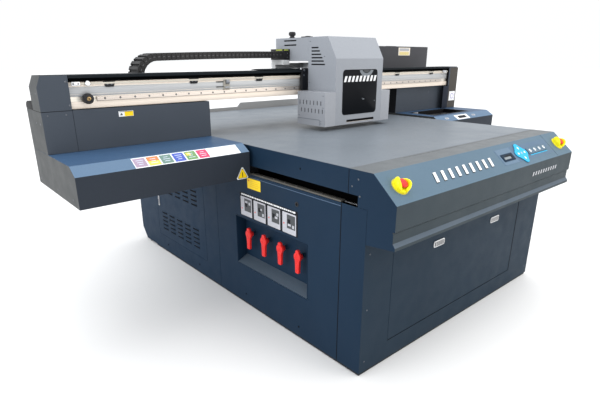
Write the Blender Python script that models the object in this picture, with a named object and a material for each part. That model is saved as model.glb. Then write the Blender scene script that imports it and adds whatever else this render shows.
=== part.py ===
"""Flatbed UV printer: a fixed cabinet with a vacuum table, a gantry that slides front to back
on two rails inside the cabinet, and a print carriage that crosses the gantry and lifts.

Lengths are metres. Shapes are drawn in cabinet coordinates: x from the cabinet's left side,
y from its front face towards the back, z from the floor. SHIFT then moves them so that the
origin is under the middle of the whole machine.
"""
import math

import bmesh
import bpy
from mathutils import Matrix, Vector

# ---- Driving dimensions ----------------------------------------------------------------
GANTRY_LENGTH = 2.997
LEFT_OVERHANG = 0.783
WIDTH = 1.497
DEPTH = 2.107
LIP_REACH = 0.133
TABLE_TOP = 0.860
SHEET = 0.002
GAP = 0.0005
REVEAL = 0.0015
SHIFT = Vector((LEFT_OVERHANG - GANTRY_LENGTH / 2, -(DEPTH - LIP_REACH) / 2, 0.0))

# Cabinet panels and the slots that the gantry legs pass through.
SKIRT_BOTTOM = 0.764
SLOT_BOTTOM = 0.7205
SLOT_FRONT = 0.047
COLUMN_DEPTH = 0.128
PANEL_BOTTOM = 0.012
PANEL_SEAM = 1.047
CORNER_CUT_RUN = 0.055
CORNER_CUT_RISE = 0.070
FLANGE = 0.020

# Table: a thick plate on two ribs.
TABLE_FRONT = 0.0965
TABLE_BACK = 2.0765
TABLE_EDGE = 0.0035
TABLE_THICKNESS = 0.016
RIB_X = 0.300
RIB_WIDTH = 0.040

# Welded frame of square tube.
POST = 0.060
BAR = 0.050
POST_X = 0.045
POST_FRONT = 0.020
FRAME_BOTTOM = 0.045
RAIL_BEAM_TOP = 0.620
CROSS_TOP = 0.615
POST_TOP = 0.610
BOTTOM_BAR_Z = 0.050
BOTTOM_CROSS_TOP = 0.099
MID_CROSS_Y = 1.040

# Levelling feet.
FOOT_RADIUS = 0.032
FOOT_THICKNESS = 0.014
FOOT_STEM = 0.009

# Front-to-back drive: rail, ball screw and motor on each side.
Y_RAIL_X = 0.075
Y_RAIL_SIZE = 0.025
Y_RAIL_FRONT = 0.100
Y_RAIL_BACK = 2.030
SCREW_X = 0.150
SCREW_Z = 0.668
SCREW_RADIUS = 0.010
SCREW_FRONT = 0.150
SCREW_BACK = 1.970
MOTOR_HALF = 0.040
MOTOR_BACK = 2.080

# Overhanging control console along the front: outline in y and z.
CONSOLE_TOP_FRONT = -0.020
FASCIA_Y = -0.129
FASCIA_TOP = 0.765
FASCIA_BOTTOM = 0.669
BAND_Y = -0.122
BAND_BOTTOM = 0.626
LIP_TOP = 0.612
LIP_BOTTOM = 0.600
CONSOLE_UNDER = 0.5855
GROOVE_DEPTH = 0.010
GROOVE_HEIGHT = 0.005

# Controls on the slanted panel: x, and distance down the slope from its top edge.
CONTROL_SLOPE_MID = 0.0745
STOP_SLOPE_MID = 0.0745
STOP_LEFT_X = 0.078
STOP_RIGHT_X = 1.412
SHROUD_RADIUS = 0.035
SHROUD_BORE = 0.0240
SHROUD_COLLAR = 0.016
SHROUD_HEIGHT = 0.036
SHROUD_NOTCH = 0.030
MUSHROOM_RADIUS = 0.0200
MUSHROOM_TOP = 0.032
MUSHROOM_BOTTOM = 0.020
MUSHROOM_CROWN = 0.016
STOP_STEM_RADIUS = 0.011
STOP_TRAVEL = 0.005
PAD_X = 1.003
PAD_REACH = 0.0344
PAD_LOBE = 0.0208
PAD_LOBE_HALF_ANGLE = 75
KEY_THICKNESS = 0.0035
KEY_LIFT = 0.0015
KEY_ROW_LEFT = 1.068
KEY_ROW_RIGHT = 1.262
KEY_ROW_HEIGHT = 0.034

# Front door with two paddle latches, hinged along its bottom edge.
DOOR_LEFT = 0.175
DOOR_RIGHT = 1.250
DOOR_BOTTOM = 0.100
FRONT_LATCH_X = (0.4985, 0.994)
FRONT_LATCH_TOP = 0.483
FRONT_LATCH_WIDTH = 0.088
FRONT_LATCH_HEIGHT = 0.038
LATCH_THICKNESS = 0.005

# Louvred door in the left side, hinged at its front edge.
SIDE_DOOR_FRONT = 1.1905
SIDE_DOOR_BACK = 1.8165
SIDE_DOOR_BOTTOM = 0.1135
SIDE_DOOR_TOP = 0.6585
SIDE_LATCH_Y = 1.785
SIDE_LATCH_TOP = 0.386
SIDE_LATCH_BOTTOM = 0.321
SIDE_LATCH_WIDTH = 0.018

# Vacuum valve recess with a sloped sill and four lever handles.
RECESS_FRONT = 0.317
RECESS_BACK = 0.866
RECESS_BOTTOM = 0.224
RECESS_TOP = 0.488
RECESS_DEPTH = 0.062
SILL_RISE = 0.028
VALVE_FIRST_Y = 0.404
VALVE_PITCH = 0.126
VALVE_COUNT = 4
VALVE_Z = 0.397
STEM_RADIUS = 0.009
STEM_END_X = 0.0405
MANIFOLD_X = 0.125
MANIFOLD_RADIUS = 0.030
HANDLE_X = 0.014
HANDLE_THICKNESS = 0.012
HUB_RADIUS = 0.015
LEVER_LENGTH = 0.079
LEVER_SHOULDER = 0.063
LEVER_TIP = 0.026
LEVER_ROOT = 0.018
KNOB_LENGTH = 0.034
KNOB_SHOULDER = 0.024
KNOB_WIDTH = 0.022

# Gantry ends: low wings with a tray top, and taller housings behind them.
WING_FRONT = 0.697
WING_BACK = 1.263
WING_BOTTOM = 0.714
WING_FACE_TOP = 0.837
TRAY_FRONT = 0.750
TRAY_TOP = 0.870
LEFT_WING_INNER = -0.020
RIGHT_WING_INNER = 1.517
GANTRY_LEFT = -LEFT_OVERHANG
GANTRY_RIGHT = GANTRY_LEFT + GANTRY_LENGTH
HOUSING_FRONT = 1.027
HOUSING_TOP = 1.041
RIGHT_PANEL_FRONT = 1.068
END_CAP_LEFT_INNER = -0.664
END_CAP_RIGHT_INNER = 2.093
ROOF_TOP = 1.178
ROOF_BACK = 1.152
CAP_KINK_Z = 1.135
CAP_KINK_IN = 0.0175

# Cross beam, its cover with the cable tray behind it, and the front rail.
BEAM_FRONT = 1.047
BEAM_BACK = 1.147
BEAM_BOTTOM = 1.052
BEAM_TOP = 1.150
BEAM_WALL = 0.006
COVER_LIP = 1.166
CHAIN_TRAY_Z = 1.0435
CHAIN_TRAY_BACK = 1.318
CHAIN_TRAY_LIP = 1.062
X_RAIL_LEFT = -0.556
X_RAIL_RIGHT = 2.010
X_RAIL_BOTTOM = 1.073
X_RAIL_TOP = 1.090
X_RAIL_FRONT = 1.035

# Legs that join the gantry to the blocks on the front-to-back rails.
LEG_FRONT = 0.800
LEG_BACK = 1.230
LEG_ARM_BOTTOM = 0.729
LEG_ARM_TOP = 0.757
LEG_OUTER_X = -0.300
LEG_CLEARANCE = 0.008
UPRIGHT_INNER_X = -0.100
UPRIGHT_FRONT = 1.0755
UPRIGHT_BACK = 1.140
BLOCK_INNER_X = 0.105
BLOCK_OUTER_X = 0.050
NUT_INNER_X = 0.185
NUT_FRONT = 0.950
NUT_BACK = 1.050
NUT_BOTTOM = 0.640
NUT_TOP = 0.696

# Capping station in the right wing.
CAP_LEFT = 1.600
CAP_RIGHT = 2.030
CAP_FRONT = 0.800
CAP_BACK = 1.000
CAP_MARGIN = 0.030
CAP_BOTTOM = 0.775
CAP_TOP = 0.845

# Ink supply box behind the right end.
INK_LEFT = 1.320
INK_FRONT = 1.3205
INK_BACK = 1.480
INK_BOTTOM = 1.045
INK_TOP = 1.325
LID_THICKNESS = 0.003

# Carriage and the slider that it lifts on.
CARRIAGE_LEFT = 0.632
CARRIAGE_RIGHT = 1.020
CARRIAGE_FRONT = 0.799
CARRIAGE_BOTTOM = 0.885
CARRIAGE_KINK_Z = 1.2385
CARRIAGE_KINK_Y = 0.865
CARRIAGE_TOP = 1.352
CARRIAGE_SPLIT = 1.0210
CARRIAGE_BACK = 1.312
BRIDGE_BOTTOM = 1.2255
LAMP_LEFT = 0.553
LAMP_FRONT = 0.795
LAMP_TOP = 1.066
LAMP_RIGHT = 1.098
RIGHT_LAMP_TOP = 1.060
HEAD_PLATE_TOP = 0.897
HEAD_COUNT = 3
SLIDER_LEFT = 0.583
SLIDER_RIGHT = 1.060
SLIDER_FRONT = 1.0225
SLIDER_BACK = 1.0345
SLIDER_BOTTOM = 1.067
SLIDER_TOP = 1.189
SADDLE_LEFT = 0.800
SADDLE_RIGHT = 1.000
SADDLE_BACK = 1.300
SADDLE_BOTTOM = 1.182
SADDLE_TOP = 1.215
BRACKET_RIGHT = 0.629
BRACKET_FRONT = 1.184
BRACKET_TOP = 1.291
BRACKET_PLATE = 0.010

# Cable chain behind the beam: half ring at its bend, straight runs above and below.
CHAIN_FRONT = 1.190
CHAIN_BACK = 1.300
CHAIN_HEIGHT = 0.040
CHAIN_LOWER_Z = 1.066
CHAIN_UPPER_Z = 1.260
CHAIN_BEND_LEFT = -0.315
CHAIN_FIXED_X = 0.700

# Machinery in the cabinet.
BLOWER_X = 0.560
BLOWER_Y = 1.450
BLOWER_RADIUS = 0.140
BLOWER_AXIS_Z = 0.260
BLOWER_LENGTH = 0.240
MOTOR_RADIUS = 0.085
ELECTRICS_LOW = (0.950, 1.480, 0.1005)
ELECTRICS_HIGH = (1.390, 1.980, 0.500)
REAR_RAIL_TOP = 0.882
REAR_STEP_TOP = 0.912
REAR_STEP_X = 0.894
INLET_X = 0.300
INLET_Z = 0.220
INLET_WIDTH = 0.070
INLET_HEIGHT = 0.050
INLET_DEPTH = 0.030

# Fineness of round shapes.
ROUND_SIDES = 28
BEND_STEPS = 14
LOBE_STEPS = 6
SHADE_ANGLE = math.radians(35)
MERGE_DISTANCE = 1e-6


# ---- Materials -------------------------------------------------------------------------
def make_material(name, colour, roughness, metallic=0.0):
    material = bpy.data.materials.new(name)
    material.use_nodes = True
    shader = material.node_tree.nodes["Principled BSDF"]
    shader.inputs["Base Color"].default_value = (*colour, 1.0)
    shader.inputs["Roughness"].default_value = roughness
    shader.inputs["Metallic"].default_value = metallic
    return material


def make_palette():
    return {
        "blue": make_material("blue_paint", (0.030, 0.062, 0.110), 0.45),
        "grey": make_material("grey_paint", (0.085, 0.095, 0.105), 0.50),
        "light": make_material("light_paint", (0.36, 0.40, 0.45), 0.40),
        "table": make_material("table_aluminium", (0.42, 0.44, 0.46), 0.32, 0.8),
        "steel": make_material("steel", (0.55, 0.56, 0.58), 0.30, 1.0),
        "frame": make_material("frame_paint", (0.12, 0.12, 0.13), 0.60),
        "alloy": make_material("alloy", (0.70, 0.71, 0.72), 0.35, 1.0),
        "black": make_material("black_plastic", (0.015, 0.015, 0.017), 0.50),
        "rubber": make_material("rubber", (0.02, 0.02, 0.02), 0.80),
        "red": make_material("red_plastic", (0.60, 0.02, 0.015), 0.35),
        "yellow": make_material("yellow_plastic", (0.85, 0.72, 0.01), 0.35),
        "cyan": make_material("cyan_plastic", (0.02, 0.55, 0.80), 0.40),
        "zinc": make_material("zinc", (0.62, 0.64, 0.66), 0.30, 1.0),
    }


# ---- Modelling helpers -----------------------------------------------------------------
def prism(outline, axis, low, high):
    """Close a flat outline into a solid along one axis. The outline's pairs are (y, z) for
    axis x, (x, z) for axis y and (x, y) for axis z."""
    def at(pair, level):
        first, second = pair
        return {"x": (level, first, second), "y": (first, level, second),
                "z": (first, second, level)}[axis]

    mesh = bmesh.new()
    near = [mesh.verts.new(at(pair, low)) for pair in outline]
    far = [mesh.verts.new(at(pair, high)) for pair in outline]
    mesh.faces.new(near)
    mesh.faces.new(list(reversed(far)))
    for index in range(len(outline)):
        after = (index + 1) % len(outline)
        mesh.faces.new((near[index], far[index], far[after], near[after]))
    bmesh.ops.recalc_face_normals(mesh, faces=mesh.faces)
    return mesh


def block(low, high):
    """Rectangular solid between two opposite corners."""
    outline = [(low[0], low[1]), (high[0], low[1]), (high[0], high[1]), (low[0], high[1])]
    return prism(outline, "z", low[2], high[2])


def arc(centre, radius, start, end, steps):
    """Points of a circular arc, angles in degrees."""
    points = []
    for step in range(steps + 1):
        angle = math.radians(start + (end - start) * step / steps)
        points.append((centre[0] + radius * math.cos(angle),
                       centre[1] + radius * math.sin(angle)))
    return points


def rod(axis, centre, radius, low, high, sides=ROUND_SIDES):
    """Round solid along an axis; centre is the pair of the other two coordinates."""
    return prism(arc(centre, radius, 0, 360 * (sides - 1) / sides, sides - 1), axis, low, high)


def turned(profile, sides=ROUND_SIDES):
    """Solid turned about z from (radius, z) pairs that start and end on the axis."""
    mesh = bmesh.new()
    verts = [mesh.verts.new((radius, 0.0, z)) for radius, z in profile]
    edges = [mesh.edges.new((verts[i], verts[i + 1])) for i in range(len(verts) - 1)]
    bmesh.ops.spin(mesh, geom=verts + edges, cent=(0, 0, 0), axis=(0, 0, 1),
                   angle=math.tau, steps=sides, use_merge=True)
    bmesh.ops.remove_doubles(mesh, verts=mesh.verts, dist=MERGE_DISTANCE)
    bmesh.ops.recalc_face_normals(mesh, faces=mesh.faces)
    return mesh


def inset(outline, distance):
    """Move every side of an outline inwards; the outline may run either way round."""
    area = sum(a[0] * b[1] - b[0] * a[1] for a, b in zip(outline, outline[1:] + outline[:1]))
    turn = 1.0 if area > 0 else -1.0
    count = len(outline)
    moved = []
    for index in range(count):
        before = Vector(outline[index - 1])
        here = Vector(outline[index])
        after = Vector(outline[(index + 1) % count])
        first = (here - before).normalized()
        second = (after - here).normalized()
        normal_a = Vector((-first.y, first.x)) * turn
        normal_b = Vector((-second.y, second.x)) * turn
        mitre = (normal_a + normal_b) / (1.0 + normal_a.dot(normal_b))
        moved.append(tuple(here + mitre * distance))
    return moved


def to_object(name, mesh, pivot):
    data = bpy.data.meshes.new(name)
    bmesh.ops.translate(mesh, verts=mesh.verts, vec=-Vector(pivot))
    mesh.to_mesh(data)
    mesh.free()
    thing = bpy.data.objects.new(name, data)
    bpy.context.scene.collection.objects.link(thing)
    thing.location = Vector(pivot) + SHIFT
    return thing


def add(name, mesh, material, pivot=(0.0, 0.0, 0.0)):
    """Link a solid as a named piece whose origin is at its pivot."""
    thing = to_object(name, mesh, pivot)
    thing.data.materials.append(material)
    thing.data.shade_smooth()
    thing.data.set_sharp_from_angle(angle=SHADE_ANGLE)
    return thing


def combine(thing, mesh, operation):
    """Join a solid to a piece, or cut it out, with a Boolean modifier."""
    tool = to_object(thing.name + "_tool", mesh, (0.0, 0.0, 0.0))
    tool.hide_render = True
    tool.display_type = "WIRE"
    modifier = thing.modifiers.new(operation.lower(), "BOOLEAN")
    modifier.operation = operation
    modifier.object = tool


def join(thing, mesh):
    combine(thing, mesh, "UNION")


def cut(thing, mesh):
    combine(thing, mesh, "DIFFERENCE")


def open_box(low, high, wall, open_axis, open_towards):
    """The space inside a thin box, carried on past the one side that stays open."""
    inner_low = Vector(low) + Vector((wall, wall, wall))
    inner_high = Vector(high) - Vector((wall, wall, wall))
    if open_towards < 0:
        inner_low[open_axis] = low[open_axis] - wall
    else:
        inner_high[open_axis] = high[open_axis] + wall
    return block(inner_low, inner_high)


def mirrored(x):
    """The same distance measured from the cabinet's right side."""
    return WIDTH - x


def span(first, second):
    return (min(first, second), max(first, second))


# ---- Cabinet ---------------------------------------------------------------------------
def make_frame(palette):
    """Four posts, side beams that carry the rails, and cross bars, welded together."""
    posts_y = (POST_FRONT, DEPTH - POST_FRONT - POST)
    far_x = mirrored(POST_X + POST)
    frame = None
    for x in (POST_X, far_x):
        for y in posts_y:
            post = block((x, y, FRAME_BOTTOM), (x + POST, y + POST, POST_TOP))
            if frame is None:
                frame = add("base_frame", post, palette["frame"])
            else:
                join(frame, post)
    inner = (POST - BAR) / 2
    for x in (POST_X + inner, far_x + inner):
        for z in (BOTTOM_BAR_Z, RAIL_BEAM_TOP - BAR - inner):
            top = RAIL_BEAM_TOP if z > BOTTOM_BAR_Z else z + BAR
            bar = block((x, POST_FRONT + inner, z), (x + BAR, posts_y[1] + POST - inner, top))
            join(frame, bar)
    for y in (POST_FRONT + inner, MID_CROSS_Y, posts_y[1] + inner):
        join(frame, block((POST_X + BAR / 2, y, CROSS_TOP - BAR),
                          (far_x + BAR / 2, y + BAR, CROSS_TOP)))
    for y in (POST_FRONT + inner, MID_CROSS_Y, posts_y[1] + inner):
        join(frame, block((POST_X + BAR / 2, y, BOTTOM_BAR_Z + inner),
                          (far_x + BAR / 2, y + BAR, BOTTOM_CROSS_TOP)))


def make_feet(palette):
    inset_y = POST_FRONT + POST / 2
    places = {
        "foot_front_left": (POST_X + POST / 2, inset_y),
        "foot_front_right": (mirrored(POST_X + POST / 2), inset_y),
        "foot_rear_left": (POST_X + POST / 2, DEPTH - inset_y),
        "foot_rear_right": (mirrored(POST_X + POST / 2), DEPTH - inset_y),
    }
    profile = [(0.0, 0.0), (FOOT_RADIUS, 0.0), (FOOT_RADIUS, FOOT_THICKNESS),
               (FOOT_STEM, FOOT_THICKNESS + FOOT_STEM), (FOOT_STEM, FRAME_BOTTOM - GAP),
               (0.0, FRAME_BOTTOM - GAP)]
    for name, (x, y) in places.items():
        foot = turned(profile)
        bmesh.ops.translate(foot, verts=foot.verts, vec=(x, y, 0.0))
        add(name, foot, palette["rubber"], (x, y, 0.0))


def make_table(palette):
    """Vacuum table: a plate with two long ribs that stand on the frame's cross bars."""
    plate = block((TABLE_EDGE, TABLE_FRONT, TABLE_TOP - TABLE_THICKNESS),
                  (mirrored(TABLE_EDGE), TABLE_BACK, TABLE_TOP))
    table = add("vacuum_table", plate, palette["table"])
    for x in (RIB_X, mirrored(RIB_X)):
        join(table, block((x - RIB_WIDTH / 2, TABLE_FRONT + RIB_WIDTH, CROSS_TOP + GAP),
                          (x + RIB_WIDTH / 2, TABLE_BACK - RIB_WIDTH,
                           TABLE_TOP - TABLE_THICKNESS / 2)))


def make_skirts(palette):
    """Bent cover over each long edge of the table; its lower flange turns inwards."""
    top = TABLE_TOP - GAP
    for name, side in (("table_skirt_left", 0.0), ("table_skirt_right", WIDTH)):
        inward = 1.0 if side == 0.0 else -1.0
        outline = [(side, top), (side, SKIRT_BOTTOM), (side + inward * FLANGE, SKIRT_BOTTOM),
                   (side + inward * FLANGE, SKIRT_BOTTOM + SHEET),
                   (side + inward * SHEET, SKIRT_BOTTOM + SHEET), (side + inward * SHEET, top)]
        add(name, prism(outline, "y", TABLE_FRONT, TABLE_BACK), palette["blue"])


def console_outline():
    return [
        (TABLE_FRONT - GAP, TABLE_TOP), (CONSOLE_TOP_FRONT, TABLE_TOP),
        (FASCIA_Y, FASCIA_TOP), (FASCIA_Y, FASCIA_BOTTOM),
        (FASCIA_Y + GROOVE_DEPTH, FASCIA_BOTTOM), (FASCIA_Y + GROOVE_DEPTH,
                                                   FASCIA_BOTTOM - GROOVE_HEIGHT),
        (BAND_Y, FASCIA_BOTTOM - GROOVE_HEIGHT), (BAND_Y, BAND_BOTTOM),
        (-LIP_REACH, LIP_TOP), (-LIP_REACH, LIP_BOTTOM), (-GAP, CONSOLE_UNDER),
        (-GAP, SLOT_BOTTOM + GAP), (SLOT_FRONT, SLOT_BOTTOM + GAP),
        (SLOT_FRONT, SKIRT_BOTTOM), (TABLE_FRONT - GAP, SKIRT_BOTTOM),
    ]


def make_console(palette):
    """Folded housing along the front, hollow and open towards the cabinet."""
    console = add("console_shell", prism(console_outline(), "x", 0.0, WIDTH), palette["blue"])
    hollow = [
        (TABLE_FRONT + FLANGE, TABLE_TOP - SHEET), (CONSOLE_TOP_FRONT, TABLE_TOP - SHEET),
        (FASCIA_Y + SHEET * 2, FASCIA_TOP), (FASCIA_Y + SHEET * 2, FASCIA_BOTTOM + SHEET),
        (FASCIA_Y + GROOVE_DEPTH + SHEET * 2, FASCIA_BOTTOM),
        (FASCIA_Y + GROOVE_DEPTH + SHEET * 2, LIP_TOP), (-SLOT_FRONT, LIP_BOTTOM),
        (-SHEET, LIP_BOTTOM), (-SHEET, SLOT_BOTTOM + SHEET * 2),
        (TABLE_FRONT + FLANGE, SLOT_BOTTOM + SHEET * 2),
    ]
    cut(console, prism(hollow, "x", SHEET, WIDTH - SHEET))


def make_front_panel(palette):
    """Front sheet with the door opening; its ends fold back to the side panels."""
    panel = add("front_panel", block((0.0, 0.0, PANEL_BOTTOM), (WIDTH, SHEET, SLOT_BOTTOM)),
                palette["grey"])
    for x in (0.0, mirrored(SHEET)):
        join(panel, block((x, SHEET / 2, PANEL_BOTTOM), (x + SHEET, COLUMN_DEPTH, SLOT_BOTTOM)))
    cut(panel, block((DOOR_LEFT, -SHEET, DOOR_BOTTOM), (DOOR_RIGHT, SHEET * 2, CONSOLE_UNDER)))


def side_outline(front, back, top):
    """Side sheet with its rear bottom corner cut off where it reaches the back."""
    outline = [(front, PANEL_BOTTOM), (front, top), (back, top)]
    if back < DEPTH - CORNER_CUT_RUN:
        return outline + [(back, PANEL_BOTTOM)]
    return outline + [(back, PANEL_BOTTOM + CORNER_CUT_RISE),
                      (back - CORNER_CUT_RUN, PANEL_BOTTOM)]


def make_side_panels(palette):
    front = COLUMN_DEPTH + REVEAL
    back = DEPTH - SHEET - GAP
    outline = side_outline(front, PANEL_SEAM - REVEAL / 2, SLOT_BOTTOM)
    valve_side = add("side_panel_left_front", prism(outline, "x", 0.0, SHEET), palette["blue"])
    cut(valve_side, block((-SHEET, RECESS_FRONT, RECESS_BOTTOM),
                          (SHEET * 2, RECESS_BACK, RECESS_TOP)))
    outline = side_outline(PANEL_SEAM + REVEAL / 2, back, SLOT_BOTTOM)
    door_side = add("side_panel_left_rear", prism(outline, "x", 0.0, SHEET), palette["blue"])
    cut(door_side, block((-SHEET, SIDE_DOOR_FRONT, SIDE_DOOR_BOTTOM),
                         (SHEET * 2, SIDE_DOOR_BACK, SIDE_DOOR_TOP)))
    outline = side_outline(front, back, SLOT_BOTTOM)
    add("side_panel_right", prism(outline, "x", mirrored(SHEET), WIDTH), palette["blue"])


def make_rear_panel(palette):
    """Rear sheet, higher at its right, with a recessed power inlet."""
    step_start = REAR_STEP_X - (REAR_STEP_TOP - REAR_RAIL_TOP)
    outline = [
        (0.0, PANEL_BOTTOM + CORNER_CUT_RISE), (WIDTH, PANEL_BOTTOM + CORNER_CUT_RISE),
        (WIDTH, REAR_STEP_TOP), (REAR_STEP_X, REAR_STEP_TOP), (step_start, REAR_RAIL_TOP),
        (0.0, REAR_RAIL_TOP),
    ]
    panel = add("rear_panel", prism(outline, "y", DEPTH - SHEET, DEPTH), palette["blue"])
    low = Vector((INLET_X, DEPTH - INLET_DEPTH, INLET_Z))
    high = Vector((INLET_X + INLET_WIDTH, DEPTH - SHEET / 2, INLET_Z + INLET_HEIGHT))
    wall = Vector((SHEET, SHEET, SHEET)) * 2
    join(panel, block(low, high))
    pocket_high = high - wall
    pocket_high.y = DEPTH + SHEET
    cut(panel, block(low + wall, pocket_high))


# ---- Doors, latches and valves ---------------------------------------------------------
def make_front_door(palette):
    low = (DOOR_LEFT + REVEAL, 0.0, DOOR_BOTTOM + REVEAL)
    high = (DOOR_RIGHT - REVEAL, SHEET, CONSOLE_UNDER - REVEAL)
    add("front_door", block(low, high), palette["grey"], low)
    for name, x in zip(("front_latch_left", "front_latch_right"), FRONT_LATCH_X):
        paddle = block((x - FRONT_LATCH_WIDTH / 2, -LATCH_THICKNESS,
                        FRONT_LATCH_TOP - FRONT_LATCH_HEIGHT),
                       (x + FRONT_LATCH_WIDTH / 2, -GAP, FRONT_LATCH_TOP))
        add(name, paddle, palette["zinc"], (x, -GAP, FRONT_LATCH_TOP))


def make_side_door(palette):
    low = (0.0, SIDE_DOOR_FRONT + REVEAL, SIDE_DOOR_BOTTOM + REVEAL)
    high = (SHEET, SIDE_DOOR_BACK - REVEAL, SIDE_DOOR_TOP - REVEAL)
    add("side_door", block(low, high), palette["blue"], low)
    handle = block((-LATCH_THICKNESS, SIDE_LATCH_Y - SIDE_LATCH_WIDTH / 2, SIDE_LATCH_BOTTOM),
                   (-GAP, SIDE_LATCH_Y + SIDE_LATCH_WIDTH / 2, SIDE_LATCH_TOP))
    pivot_z = SIDE_LATCH_TOP - SIDE_LATCH_WIDTH / 2
    add("side_latch", handle, palette["zinc"], (-GAP, SIDE_LATCH_Y, pivot_z))


def valve_places():
    return [VALVE_FIRST_Y + VALVE_PITCH * index for index in range(VALVE_COUNT)]


def make_valve_tray(palette):
    """Open pocket behind the side panel, with a sloped sill and a hole for each valve."""
    outline = [
        (0.0, RECESS_BOTTOM + REVEAL), (RECESS_DEPTH, RECESS_BOTTOM + REVEAL + SILL_RISE),
        (RECESS_DEPTH, RECESS_TOP - REVEAL), (0.0, RECESS_TOP - REVEAL),
    ]
    front = RECESS_FRONT + REVEAL
    back = RECESS_BACK - REVEAL
    tray = add("valve_tray", prism(outline, "y", front, back), palette["blue"])
    hollow = [
        (-SHEET, RECESS_BOTTOM + REVEAL + SHEET),
        (RECESS_DEPTH - SHEET, RECESS_BOTTOM + REVEAL + SHEET + SILL_RISE),
        (RECESS_DEPTH - SHEET, RECESS_TOP - REVEAL - SHEET),
        (-SHEET, RECESS_TOP - REVEAL - SHEET),
    ]
    cut(tray, prism(hollow, "y", front + SHEET, back - SHEET))
    for y in valve_places():
        cut(tray, rod("x", (y, VALVE_Z), STEM_RADIUS + REVEAL, RECESS_DEPTH - SHEET * 2,
                      RECESS_DEPTH + SHEET))


def make_manifold(palette):
    """Suction pipe behind the recess with one valve stem for each table zone."""
    pipe = rod("y", (MANIFOLD_X, VALVE_Z), MANIFOLD_RADIUS, RECESS_FRONT, RECESS_BACK)
    manifold = add("vacuum_manifold", pipe, palette["alloy"])
    for y in valve_places():
        join(manifold, rod("x", (y, VALVE_Z), STEM_RADIUS, STEM_END_X, MANIFOLD_X))


def make_handles(palette):
    """Lever handles: a long lever hangs down and a short knob points up."""
    for number, y in enumerate(valve_places(), start=1):
        lever = [(y - LEVER_ROOT / 2, VALVE_Z), (y - LEVER_TIP / 2, VALVE_Z - LEVER_SHOULDER)]
        lever += [(y - LEVER_TIP / 4, VALVE_Z - LEVER_LENGTH),
                  (y + LEVER_TIP / 4, VALVE_Z - LEVER_LENGTH)]
        lever += [(y + LEVER_TIP / 2, VALVE_Z - LEVER_SHOULDER), (y + LEVER_ROOT / 2, VALVE_Z)]
        lever += [(y + KNOB_WIDTH / 2, VALVE_Z + KNOB_SHOULDER),
                  (y + KNOB_WIDTH / 4, VALVE_Z + KNOB_LENGTH),
                  (y - KNOB_WIDTH / 4, VALVE_Z + KNOB_LENGTH),
                  (y - KNOB_WIDTH / 2, VALVE_Z + KNOB_SHOULDER)]
        solid = prism(lever, "x", HANDLE_X, HANDLE_X + HANDLE_THICKNESS)
        handle = add(f"valve_handle_{number}", solid, palette["red"], (HANDLE_X, y, VALVE_Z))
        join(handle, rod("x", (y, VALVE_Z), HUB_RADIUS, HANDLE_X - REVEAL * 2, STEM_END_X - GAP))


# ---- Controls on the slanted panel -----------------------------------------------------
def slope_frame(x, distance):
    """Frame on the slanted panel: local x across, local y up the slope, local z outwards."""
    up = Vector((0.0, CONSOLE_TOP_FRONT - FASCIA_Y, TABLE_TOP - FASCIA_TOP)).normalized()
    across = Vector((1.0, 0.0, 0.0))
    out = across.cross(up)
    origin = Vector((x, CONSOLE_TOP_FRONT, TABLE_TOP)) - up * distance
    frame = Matrix((across, up, out)).transposed().to_4x4()
    frame.translation = origin
    return frame


def on_slope(mesh, frame, lift):
    bmesh.ops.translate(mesh, verts=mesh.verts, vec=(0.0, 0.0, lift))
    mesh.transform(frame)
    return mesh


def make_stop_button(side, x, palette):
    """Emergency stop: a mushroom button inside a guard ring with two open sides."""
    frame = slope_frame(x, STOP_SLOPE_MID)
    ring = on_slope(rod("z", (0.0, 0.0), SHROUD_RADIUS, 0.0, SHROUD_HEIGHT), frame, GAP)
    shroud = add(f"estop_shroud_{side}", ring, palette["yellow"])
    cut(shroud, on_slope(rod("z", (0.0, 0.0), SHROUD_BORE, -SHROUD_HEIGHT, SHROUD_HEIGHT * 2),
                         frame, 0.0))
    notch = block((-SHROUD_NOTCH / 2, -SHROUD_RADIUS * 2, SHROUD_COLLAR),
                  (SHROUD_NOTCH / 2, SHROUD_RADIUS * 2, SHROUD_HEIGHT * 2))
    cut(shroud, on_slope(notch, frame, GAP))
    profile = [(0.0, STOP_TRAVEL + GAP), (STOP_STEM_RADIUS, STOP_TRAVEL + GAP),
               (STOP_STEM_RADIUS, MUSHROOM_BOTTOM), (MUSHROOM_RADIUS, MUSHROOM_BOTTOM + REVEAL),
               (MUSHROOM_RADIUS, MUSHROOM_TOP - REVEAL * 2),
               (MUSHROOM_CROWN, MUSHROOM_TOP), (0.0, MUSHROOM_TOP)]
    button = on_slope(turned(profile), frame, GAP)
    add(f"estop_button_{side}", button, palette["red"], frame.translation)


def make_keypad(palette):
    """Four-way arrow pad and a row of function keys; both press into the panel."""
    frame = slope_frame(PAD_X, CONTROL_SLOPE_MID)
    outline = []
    for angle in (0, 90, 180, 270):
        turn = math.radians(angle)
        centre = (PAD_REACH * math.cos(turn), PAD_REACH * math.sin(turn))
        outline += arc(centre, PAD_LOBE, angle - PAD_LOBE_HALF_ANGLE,
                       angle + PAD_LOBE_HALF_ANGLE, LOBE_STEPS)
    pad = on_slope(prism(outline, "z", 0.0, KEY_THICKNESS), frame, KEY_LIFT)
    add("arrow_pad", pad, palette["cyan"], frame.translation)
    frame = slope_frame((KEY_ROW_LEFT + KEY_ROW_RIGHT) / 2, CONTROL_SLOPE_MID)
    half = (KEY_ROW_RIGHT - KEY_ROW_LEFT) / 2
    strip = block((-half, -KEY_ROW_HEIGHT / 2, 0.0), (half, KEY_ROW_HEIGHT / 2, KEY_THICKNESS))
    add("function_keys", on_slope(strip, frame, KEY_LIFT), palette["light"], frame.translation)


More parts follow.
